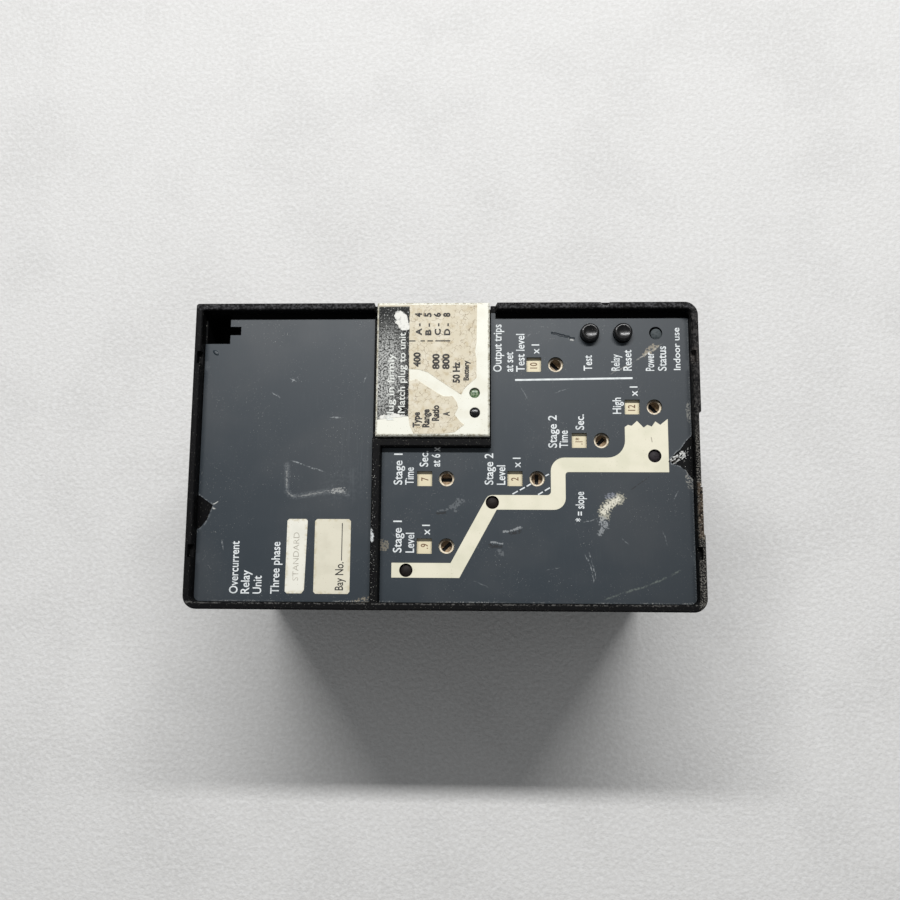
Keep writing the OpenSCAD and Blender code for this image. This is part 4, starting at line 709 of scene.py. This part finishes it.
def paper_label():
    """Worn paper label: crazed beige paper, and a black band whose print has rubbed off in specks."""
    finish = Finish("plug_paper", PAPER, 0.72, specular=0.25)
    finish.mottle(5.0, (219, 212, 194), 0.9)
    finish.tint(finish.blotches(2.4, 0.5, 0.68), PAPER_STAIN, 0.55)
    ragged = finish.wander(1.8, 1.6)
    crazing = finish.times(finish.step(finish.cracks(1.7, ragged), 0.05, 0.01),
                           finish.blotches(3.0, 0.4, 0.6))
    finish.tint(crazing, PAPER_CRACK, 0.7)
    band_edge = PAPER_LOW.x + 12.5
    across = finish.fold("ADD", finish.axes[0], finish.times(finish.grain(2.0), 0.9))
    band = finish.times(finish.step(across, band_edge + 0.5, band_edge + 0.2),
                        finish.ramp("Y", PAPER_HIGH.y - 0.2, PAPER_HIGH.y - 1.0))
    finish.tint(band, BAND_BLACK)
    middle = finish.patch((PAPER_LOW.x + 2.5, PAPER_LOW.y + 25), (10.5, 26), -6)
    rubbed = finish.most(
        finish.broken(middle, 0.7, 0.38, 0.62, 8.0),
        finish.times(finish.blotches(0.6, 0.58, 0.68, 6.0), 0.8),
    )
    finish.tint(finish.times(rubbed, band), (198, 199, 195), 0.85)
    torn = finish.most(finish.patch((PAPER_LOW.x + 9.2, PAPER_HIGH.y - 6), (4.0, 6.6), 20, ragged),
                       finish.patch((PAPER_LOW.x + 10.5, PAPER_HIGH.y - 9), (3.4, 3.0), 0, ragged),
                       finish.patch((PAPER_LOW.x + 6.5, PAPER_LOW.y + 6.0), (10.0, 3.4), 0, ragged))
    bared = finish.times(finish.frayed(torn, 1.6, 0.27, 0.36), band)
    finish.tint(bared, (226, 225, 218))
    finish.tint(finish.broken(bared, 1.2, 0.5, 0.66, 6.0), (150, 150, 146), 0.5)
    finish.tint(finish.broken(band, 0.45, 0.7, 0.75, 1.0), (236, 236, 232))
    finish.grained(1.1, 0.05)
    return finish.material


def circuit_board():
    """Circuit board: green solder resist over pale tracks."""
    finish = Finish("circuit_board", (44, 84, 56), 0.38, specular=0.5)
    tracks = finish.step(finish.cracks(4.0), 0.12, 0.06)
    finish.tint(tracks, (84, 128, 84), 0.5)
    pads = finish.blotches(1.6, 0.68, 0.7, 1.0)
    finish.tint(pads, (190, 190, 178))
    finish.relief(tracks, 0.03)
    return finish.material


def bare_metal(name, colour, other, roughness):
    """Plated metal with fine turning marks and a little tarnish."""
    finish = Finish(name, colour, roughness, metallic=1.0)
    finish.mottle(2.0, other, 0.8)
    finish.matt(finish.blotches(0.6, 0.45, 0.65, stretch=(1, 1, 0.2)), min(roughness + 0.18, 1.0))
    finish.grained(0.3, 0.01)
    return finish.material


def core_stack():
    """Transformer: laminated core with a taped coil."""
    finish = Finish("transformer_core", (92, 76, 58), 0.6, specular=0.35)
    waves = finish.add("ShaderNodeTexWave", {"Vector": finish.place, "Scale": 0.5}, bands_direction="Y")
    lamination = waves.outputs["Fac"]
    finish.tint(lamination, (58, 50, 42), 0.6)
    finish.mottle(3.0, (120, 96, 62), 0.5)
    finish.relief(lamination, 0.06)
    return finish.material


def dress_frame():
    """Gives every CAD node its finish."""
    finishes = {
        "front_bezel": black_moulding(),
        "rear_housing": housing_moulding(),
        "name_label": name_label(),
        "settings_label": settings_label(),
        "trip_curve_print": cream_print(),
        "blank_sticker": sticker("white_sticker", STICKER_WHITE, *node_box("blank_sticker")),
        "location_label": sticker("cream_sticker", STICKER_CREAM, LOCATION_LOW, LOCATION_HIGH),
        "rotary_switches": plain_finish("switch_plastic", (42, 78, 122), (34, 62, 100), 0.45),
        "lamp_instantaneous": lamp_lens("dulled_lamp", (46, 41, 44), (26, 23, 25)),
        "lamp_status": lamp_lens("status_lamp", (74, 80, 82), (52, 58, 60)),
        "processor_chip": plain_finish("chip_plastic", (34, 34, 36), (42, 42, 44), 0.6, 4.0),
        "current_transformers": core_stack(),
        "storage_capacitors": plain_finish("capacitor_sleeve", (38, 56, 92), (30, 44, 74), 0.35, 8.0),
        "plug_case": plug_plastic(),
        "plug_base": plain_finish("plug_base_plastic", (208, 202, 186), (192, 184, 164), 0.5),
        "plug_label": paper_label(),
        "plug_lamp": clouded_lamp("plug_lamp"),
        "battery": bare_metal("cell_steel", (200, 202, 206), (172, 174, 180), 0.28),
        "case_screws": bare_metal("screw_steel", (126, 128, 132), (92, 92, 96), 0.42),
        "mounting_inserts": bare_metal("insert_brass", (196, 156, 84), (150, 114, 58), 0.36),
    }
    shared = (
        (circuit_board(), ("front_board", "logic_board", "main_board", "riser_card", "plug_board")),
        (bare_metal("zinc_steel", (176, 178, 182), (140, 142, 148), 0.38),
         ("front_board_screws", "logic_board_screws", "main_board_screws")),
        (bare_metal("contact_brass", (206, 172, 96), (160, 124, 62), 0.32),
         ("plug_pins", "connector_pins")),
        (plain_finish("connector_plastic", (46, 46, 50), (54, 54, 58), 0.52),
         ("board_link", "riser_sockets", "plug_socket", "connector_shell")),
        (plain_finish("push_switch_plastic", (36, 36, 38), (46, 46, 48), 0.5),
         ("push_switches", "plug_switch", "battery_holder")),
        (button_plastic(), ("test_button", "reset_button", "battery_check_button")),
        (lamp_lens("dark_lamp", (32, 26, 24), (19, 15, 14)), ("lamp_long_delay", "lamp_short_delay")),
    )
    for material, names in shared:
        finishes.update(dict.fromkeys(names, material))
    for dial in DIAL_NUMBERS:
        finishes[dial] = dial_plastic(dial)
    for name, node in NODES.items():
        node.data.materials.clear()
        node.data.materials.append(finishes[name])


# Pieces that lie on the frame

PRINT_THICKNESS = 0.02
LETTER_RESOLUTION = 3
LETTER_EXTRUDE = 0.002


def add_object(name, data):
    """Adds an object to the scene."""
    made = bpy.data.objects.new(name, data)
    bpy.context.scene.collection.objects.link(made)
    return made


def shaped_object(name, shape, material):
    """Adds an object whose mesh is a finished shape, with its place in the mesh."""
    mesh = bpy.data.meshes.new(name)
    shape.to_mesh(mesh)
    shape.free()
    mesh.materials.append(material)
    return add_object(name, mesh)


def new_piece(name, shape, material, body):
    """Makes a finished shape a piece of the relay, which rides on a body."""
    piece = shaped_object(name, shape, material)
    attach(piece, body)


def letter_mesh(text, weight):
    """Mesh of a line of lettering, flat on the ground, one unit high per font size."""
    curve = bpy.data.curves.new("line", "FONT")
    curve.body = text
    curve.extrude = LETTER_EXTRUDE
    curve.offset = weight
    curve.resolution_u = LETTER_RESOLUTION
    holder = add_object("line", curve)
    bpy.context.view_layer.update()
    mesh = bpy.data.meshes.new_from_object(holder.evaluated_get(bpy.context.evaluated_depsgraph_get()))
    bpy.data.objects.remove(holder)
    bpy.data.curves.remove(curve)
    return mesh


def mesh_reach(mesh):
    """Lowest and highest corner of a mesh."""
    xs = [v.co.x for v in mesh.vertices]
    ys = [v.co.y for v in mesh.vertices]
    return Vector((min(xs), min(ys))), Vector((max(xs), max(ys)))


CAPITAL = mesh_reach(letter_mesh("H", 0.0))
CAPITAL_HEIGHT = CAPITAL[1].y - CAPITAL[0].y


class Print:
    """Thin printed marks that are gathered into one mesh. Sizes are millimetres."""

    def __init__(self, level):
        self.middle = level + PRINT_THICKNESS / 2
        self.shape = bmesh.new()

    def line(self, text, at, height, turn=90.0, length=None, centred=False, squeeze=0.8, weight=0.012):
        """Adds lettering that starts at a point, or is centred on it, turned from the X axis."""
        mesh = letter_mesh(text, weight)
        low, high = mesh_reach(mesh)
        scale_y = height / CAPITAL_HEIGHT
        scale_x = length / (high.x - low.x) if length else scale_y * squeeze
        start = Vector((-low.x, 0, 0))
        if centred:
            start = Vector((-(low.x + high.x) / 2, -CAPITAL_HEIGHT / 2, 0))
        place = (
            Matrix.Translation(Vector((*at, self.middle)) * MM)
            @ Matrix.Rotation(radians(turn), 4, "Z")
            @ Matrix.Diagonal((scale_x * MM, scale_y * MM, PRINT_THICKNESS / 2 / LETTER_EXTRUDE * MM, 1))
            @ Matrix.Translation(start)
        )
        mesh.transform(place)
        self.shape.from_mesh(mesh)
        bpy.data.meshes.remove(mesh)

    def bar(self, start, end, width):
        """Adds a straight printed bar between two points."""
        along = Vector(end) - Vector(start)
        middle = (Vector(start) + Vector(end)) / 2
        place = (
            Matrix.Translation(Vector((*middle, self.middle)) * MM)
            @ Matrix.Rotation(Vector((1, 0)).angle_signed(along) * -1, 4, "Z")
            @ Matrix.Diagonal((along.length * MM, width * MM, PRINT_THICKNESS * MM, 1))
        )
        bmesh.ops.create_cube(self.shape, size=1.0, matrix=place)

    def piece(self, name, material, body, slot):
        """Turns the gathered marks into a piece."""
        new_piece(name, self.shape, material, body)


# Lettering on the face: its cap height, and its words with their start point and length
LETTER_HEIGHT = 3.3
FACE_WORDS = (
    ("Output trips", (23.0, 33.9), 19.8), ("at set", (27.7, 33.9), 8.2), ("Test level", (32.3, 33.9), 15.8),
    ("Test", (59.5, 34.3), 6.4), ("Relay", (70.6, 34.3), 6.8), ("Reset", (75.4, 34.3), 8.6),
    ("Power", (84.4, 34.2), 7.6), ("Status", (89.3, 34.2), 10.2),
    ("Stage 2", (45.0, 2.8), 13.2), ("Time", (49.4, 2.8), 7.0), ("Sec.", (55.9, 10.1), 6.3),
    ("High", (70.8, 16.6), 6.6),
    ("Stage 1", (-16.7, -12.2), 12.6), ("Time", (-12.1, -12.2), 7.0), ("Sec.", (-6.4, -4.9), 6.4),
    ("at 6 x", (-1.6, -4.9), 8.0),
    ("Stage 1", (-16.6, -39.1), 12.6), ("Level", (-11.6, -39.1), 7.8),
    ("Stage 2", (19.6, -12.1), 12.6), ("Level", (24.4, -12.1), 7.8),
    ("* = slope", (55.5, -26.6), 11.8),
    ("Overcurrent", (-81.2, -55.5), 20.6), ("Relay", (-76.6, -55.5), 9.2), ("Unit", (-71.8, -55.5), 7.0),
    ("Three phase", (-64.8, -55.5), 20.4),
)
SLOPE_DASHES = (
    ((27.3, -15.8), (29.4, -14.6)), ((30.2, -14.2), (32.2, -13.1)), ((32.9, -12.7), (34.6, -11.7)),
    ((37.4, -16.0), (39.3, -14.9)), ((40.1, -14.4), (42.1, -13.2)), ((40.4, -8.5), (41.8, -7.8)),
)
UNIT_DIALS = ("dial_test_level", "dial_instantaneous", "dial_short_delay_level", "dial_long_delay_level")
WINDOW_OFFSET = 8.8


def face_lettering(ink):
    """White lettering of both face labels, the rule below the test row and the dashes beside the curve."""
    marks = Print(LABEL_TOP)
    for text, at, length in FACE_WORDS:
        marks.line(text, at, LETTER_HEIGHT, length=length)
    for dial in UNIT_DIALS:
        centre = node_centre(dial)
        marks.line("x I", (centre.x - WINDOW_OFFSET + 2.2, centre.y + 4.4), 3.0, length=4.0)
    marks.line("Indoor use", (94.9, 34.5), 2.6, length=17.6)
    marks.bar((28.5, 30.5), (75.7, 31.2), 0.75)
    for start, end in SLOPE_DASHES:
        marks.bar(start, end, 0.5)
    marks.piece("face_lettering", ink, "case", "cream_print")


def typed_lettering(ink):
    """Faint typed word of the white sticker."""
    low, high = node_box("blank_sticker")
    marks = Print(high.z)
    marks.line("STANDARD", ((low.x + high.x) / 2 + 1.0, low.y + 5.0), 2.3, length=19.0, weight=0.0)
    marks.piece("typed_lettering", ink, "case", "white_sticker")


def location_lettering(ink):
    """Dark lettering and writing line of the location label."""
    marks = Print(LOCATION_HIGH.z)
    right = LOCATION_HIGH.x
    marks.line("Bay No.", (right - 2.6, LOCATION_LOW.y + 1.4), 3.2, length=11.0)
    marks.bar((right - 3.4, LOCATION_LOW.y + 13.0), (right - 3.4, LOCATION_HIGH.y - 1.6), 0.35)
    marks.piece("location_lettering", ink, "case", "cream_sticker")


# Numbers of each dial in order of its steps, and the step that it shows
DIAL_NUMBERS = {
    "dial_long_delay_time": (("2", "4", "7", "10", "12", "15", "20", "24"), 2),
    "dial_long_delay_level": ((".5", ".6", ".7", ".8", ".85", ".9", ".95", "1"), 5),
    "dial_short_delay_level": (("2", "2.5", "3", "4", "5", "6", "8", "10"), 0),
    "dial_short_delay_time": ((".1", ".2", ".3", ".4", ".5", ".1*", ".3*", ".5*"), 5),
    "dial_instantaneous": (("2", "2.5", "3", "4", "5", "6", "8", "12"), 7),
    "dial_test_level": (("1", "2", "3", "4", "5", "6", "8", "10"), 7),
}
DIAL_STEP = 45.0
READING_ANGLE = 180.0


def dial_numbers(ink):
    """Brown numbers round each dial's disc. They turn with the dial, and one shows in the window."""
    for dial, (numbers, shown) in DIAL_NUMBERS.items():
        centre = node_centre(dial).xy
        marks = Print(node_box(dial)[1].z - DISC_DROP)
        for step, number in enumerate(numbers):
            angle = READING_ANGLE + DIAL_STEP * (step - shown)
            out = Vector((cos(radians(angle)), sin(radians(angle))))
            at = centre + WINDOW_OFFSET * out
            squeeze = 0.75 if len(number) < 3 else 0.6
            marks.line(number, at, 2.8, turn=angle - 90, centred=True, squeeze=squeeze, weight=0.014)
        marks.piece(dial + "_numbers", ink, dial, "dial_plastic")


# Worn print on the rating plug: words, place from the plug's near left corner, cap height and length
PAPER_WORDS = (
    ("Type", (17.6, 3.4), 2.6, 6.2), ("Range", (21.4, 3.4), 2.6, 7.4), ("Ratio", (25.2, 6.0), 2.6, 6.4),
    ("A", (29.4, 8.0), 2.4, 1.8),
    ("400", (17.6, 28.0), 2.6, 6.0), ("800", (25.2, 27.0), 2.6, 6.4), ("800", (29.2, 27.0), 2.6, 6.4),
    ("50 Hz", (33.4, 21.4), 2.6, 8.6), ("Battery", (37.0, 22.4), 2.0, 8.2),
    ("A -", (18.0, 41.0), 2.2, 5.0), ("B -", (21.8, 41.0), 2.2, 5.0), ("C -", (25.6, 41.0), 2.2, 5.0),
    ("D -", (29.4, 41.0), 2.2, 5.0),
    ("4", (18.0, 48.6), 2.6, 1.8), ("5", (21.8, 48.6), 2.6, 1.8), ("6", (25.6, 48.6), 2.6, 1.8),
    ("8", (29.4, 48.6), 2.6, 1.8),
)
PAPER_RULES = ((12.9, 15.6), (17.6, 19.4), (20.4, 22.6), (23.6, 29.6))
PAPER_RULES_AT = 38.7
BAND_WORDS = (("Plug in firmly", (7.2, 6.4), 2.7, 27.0), ("Match plug to unit", (11.6, 9.2), 2.7, 33.0))


def paper_print(dark, pale):
    """Worn generic print of the rating plug's paper label."""
    corner = PLUG_LOW.xy
    marks = Print(PAPER_HIGH.z)
    for text, at, height, length in PAPER_WORDS:
        marks.line(text, corner + Vector(at), height, length=length, weight=0.045)
    for left, right in PAPER_RULES:
        marks.bar(corner + Vector((left, PAPER_RULES_AT)), corner + Vector((right, PAPER_RULES_AT)), 0.5)
    marks.piece("paper_print", dark, "rating_plug", "paper_label")
    band = Print(PAPER_HIGH.z)
    for text, at, height, length in BAND_WORDS:
        band.line(text, corner + Vector(at), height, length=length)
    band.piece("band_print", pale, "rating_plug", "paper_label")


# Dome of the battery check button
CAP_DOME = 0.38
CAP_RADIUS = 1.85


def check_button_cap(material):
    """Low dome on the battery check button, which ends just below the face of the rating plug."""
    centre = node_centre("battery_check_button")
    top = node_box("battery_check_button")[1].z
    ball = (CAP_RADIUS ** 2 + CAP_DOME ** 2) / (2 * CAP_DOME)
    mesh = bmesh.new()
    bmesh.ops.create_uvsphere(mesh, u_segments=40, v_segments=72, radius=ball)
    bmesh.ops.translate(mesh, vec=(centre.x, centre.y, top + CAP_DOME - ball), verts=mesh.verts)
    whole = mesh.verts[:] + mesh.edges[:] + mesh.faces[:]
    cut = bmesh.ops.bisect_plane(mesh, geom=whole, plane_co=(0, 0, top), plane_no=(0, 0, 1),
                                 clear_inner=True)
    for face in mesh.faces:
        face.smooth = True
    rim = [part for part in cut["geom_cut"] if isinstance(part, bmesh.types.BMEdge)]
    bmesh.ops.contextual_create(mesh, geom=rim)
    bmesh.ops.scale(mesh, vec=(MM, MM, MM), verts=mesh.verts)
    bmesh.ops.recalc_face_normals(mesh, faces=mesh.faces)
    new_piece("check_button_cap", mesh, material, "battery_check_button")


def shard(mesh, at, size, turn, rng):
    """Adds one flat, jagged flake to a mesh."""
    made = bmesh.ops.create_circle(mesh, cap_ends=True, segments=rng.randint(5, 7), radius=0.5)["verts"]
    for vertex in made:
        vertex.co *= rng.uniform(0.55, 1.25)
    sides = list({face for vertex in made for face in vertex.link_faces})
    raised = bmesh.ops.extrude_face_region(mesh, geom=sides)["geom"]
    top = [part for part in raised if isinstance(part, bmesh.types.BMVert)]
    bmesh.ops.translate(mesh, vec=(0, 0, 1), verts=top)
    whole = made + top
    place = (
        Matrix.Translation(Vector(at) * MM) @ Matrix.Rotation(turn, 4, "Z")
        @ Matrix.Rotation(rng.uniform(-0.25, 0.25), 4, "X") @ Matrix.Diagonal((*(Vector(size) * MM), 1))
    )
    bmesh.ops.transform(mesh, matrix=place, verts=whole)


def shards(name, places, material, body, seed):
    """Jagged flakes at given places, each with its length, width, thickness and turn."""
    rng = random.Random(seed)
    mesh = bmesh.new()
    for at, size, turn in places:
        shard(mesh, at, size, turn, rng)
    bmesh.ops.recalc_face_normals(mesh, faces=mesh.faces)
    new_piece(name, mesh, material, body)


# Flakes of the wear: how many, and how the scar runs
CURL_COUNT = 34
SPECK_COUNT = 16
SHRED_COUNT = 9
CRUMB_COUNT = 40
SCAR_TURN = radians(34)
WEAR_SEED = 11


def wear_pieces():
    """Torn curls of film at the tip of the scar, specks inside it, and crumbs along the broken end rim."""
    rng = random.Random(WEAR_SEED)
    edge = SETTINGS_HIGH.x
    floor = SETTINGS_LOW.z
    tip = Vector((edge - 8.4, -2.6))
    along = Vector((cos(SCAR_TURN), sin(SCAR_TURN)))
    across = Vector((-along.y, along.x))
    pale = plain_finish("torn_film", (206, 206, 202), (120, 122, 122), 0.6, 0.9)
    curls = []
    for _ in range(CURL_COUNT):
        at = tip + along * rng.uniform(0.2, 6.6) + across * rng.uniform(-1.5, 0.9)
        size = (rng.uniform(0.7, 2.1), rng.uniform(0.25, 0.6), rng.uniform(0.1, 0.2))
        turn = SCAR_TURN + rng.uniform(-0.8, 0.8)
        curls.append(((at.x, at.y, floor + rng.uniform(0.15, 0.55)), size, turn))
    for _ in range(SPECK_COUNT):
        at = (edge - rng.uniform(0.5, 3.6), rng.uniform(-6.0, 4.5), floor + 0.02)
        curls.append((at, (rng.uniform(0.2, 0.6), rng.uniform(0.15, 0.3), 0.06), rng.uniform(0, pi)))
    shards("scar_curls", curls, pale, "case", seed=3)
    dark = plain_finish("torn_moulding", (40, 36, 30), (18, 17, 16), 0.7, 0.9)
    dark_curls = []
    for _ in range(SHRED_COUNT):
        at = tip + along * rng.uniform(-0.4, 2.6) + across * rng.uniform(-1.0, 0.5)
        size = (rng.uniform(0.8, 1.8), rng.uniform(0.3, 0.7), rng.uniform(0.1, 0.25))
        turn = SCAR_TURN + rng.uniform(-0.7, 0.7)
        dark_curls.append(((at.x, at.y, floor + rng.uniform(0.3, 0.6)), size, turn))
    shards("scar_shreds", dark_curls, dark, "case", seed=4)
    crumb = plain_finish("broken_moulding", FRACTURE_BROWN, (30, 29, 27), 0.8, 1.2, 0.08)
    end = FACE_HIGH.x
    crumbs = []
    for _ in range(CRUMB_COUNT):
        at = (end - rng.uniform(1.2, 2.4), rng.uniform(*CRUMB_STRETCH), RIM_TOP - rng.uniform(2.5, 3.0))
        size = (rng.uniform(0.5, 1.7), rng.uniform(0.3, 1.0), rng.uniform(0.5, 1.7))
        crumbs.append((at, size, rng.uniform(0, pi)))
    shards("rim_crumbs", crumbs, crumb, "case", seed=5)


# Stage, lights and camera

CAMERA_AT = Vector((15.40, -52.92, RIM_TOP + 356.91))
CAMERA_FORWARD = Vector((-0.03558, 0.14946, -0.98813))
CAMERA_RIGHT = Vector((0.99937, 0.00671, -0.03497))
CAMERA_LENS = 36.6
SENSOR_WIDTH = 36.0
KEY_AT = Vector((0, 855, 1530))
KEY_LENGTH = 1500
KEY_WIDTH = 80
KEY_POWER = 31.8
SURROUND = 0.25
SURROUND_COLOUR = (0.96, 0.98, 1.0, 1.0)
FLOOR_SIDE = 6000
FLOOR_DROP = 0.05


def photo_camera():
    """Camera at the photograph's viewing angle."""
    data = bpy.data.cameras.new("photo_camera")
    data.sensor_fit = "HORIZONTAL"
    data.sensor_width = SENSOR_WIDTH
    data.lens = CAMERA_LENS
    data.clip_start = 0.01
    camera = add_object("photo_camera", data)
    forward = CAMERA_FORWARD.normalized()
    right = (CAMERA_RIGHT - forward * CAMERA_RIGHT.dot(forward)).normalized()
    turn = Matrix((right, right.cross(forward), -forward)).transposed().to_4x4()
    camera.matrix_world = Matrix.Translation(CAMERA_AT * MM) @ turn
    bpy.context.scene.camera = camera


def studio_light():
    """One long soft lamp, high up beyond the far rim, and an even pale surround."""
    data = bpy.data.lights.new("soft_box", "AREA")
    data.shape = "RECTANGLE"
    data.size = KEY_LENGTH * MM
    data.size_y = KEY_WIDTH * MM
    data.energy = KEY_POWER
    lamp = add_object("soft_box", data)
    aim = (-KEY_AT).to_track_quat("-Z", "Y").to_matrix().to_4x4()
    lamp.matrix_world = Matrix.Translation(KEY_AT * MM) @ aim
    world = bpy.data.worlds.new("studio")
    world.use_nodes = True
    sky = world.node_tree.nodes["Background"]
    sky.inputs["Color"].default_value = SURROUND_COLOUR
    sky.inputs["Strength"].default_value = SURROUND
    bpy.context.scene.world = world


def floor_sheet():
    """Pale floor with the faint pebbled grain of a packing sheet."""
    finish = Finish("floor_sheet", FLOOR_GREY, 0.7, specular=0.3)
    finish.mottle(60.0, (206, 205, 203), 0.7)
    finish.tint(finish.blotches(2.2, 0.4, 0.66, 2.0), (232, 232, 231), 0.35)
    finish.grained(2.0, 0.5, 2.0)
    mesh = bmesh.new()
    bmesh.ops.create_grid(mesh, x_segments=1, y_segments=1, size=FLOOR_SIDE / 2 * MM)
    bmesh.ops.translate(mesh, vec=(0, 0, -FLOOR_DROP * MM), verts=mesh.verts)
    shaped_object("floor_sheet", mesh, finish.material)


photo_camera()
studio_light()
floor_sheet()
dress_frame()
face_lettering(lettering_white())
location_lettering(ink_finish("label_ink", INK))
typed_lettering(ink_finish("typed_ink", TYPED_INK))
dial_numbers(ink_finish("dial_ink", DIAL_INK))
paper_print(ink_finish("paper_ink", INK), ink_finish("band_ink", (206, 208, 202)))
check_button_cap(NODES["battery_check_button"].data.materials[0])
wear_pieces()
bpy.context.scene.view_settings.view_transform = "Standard"
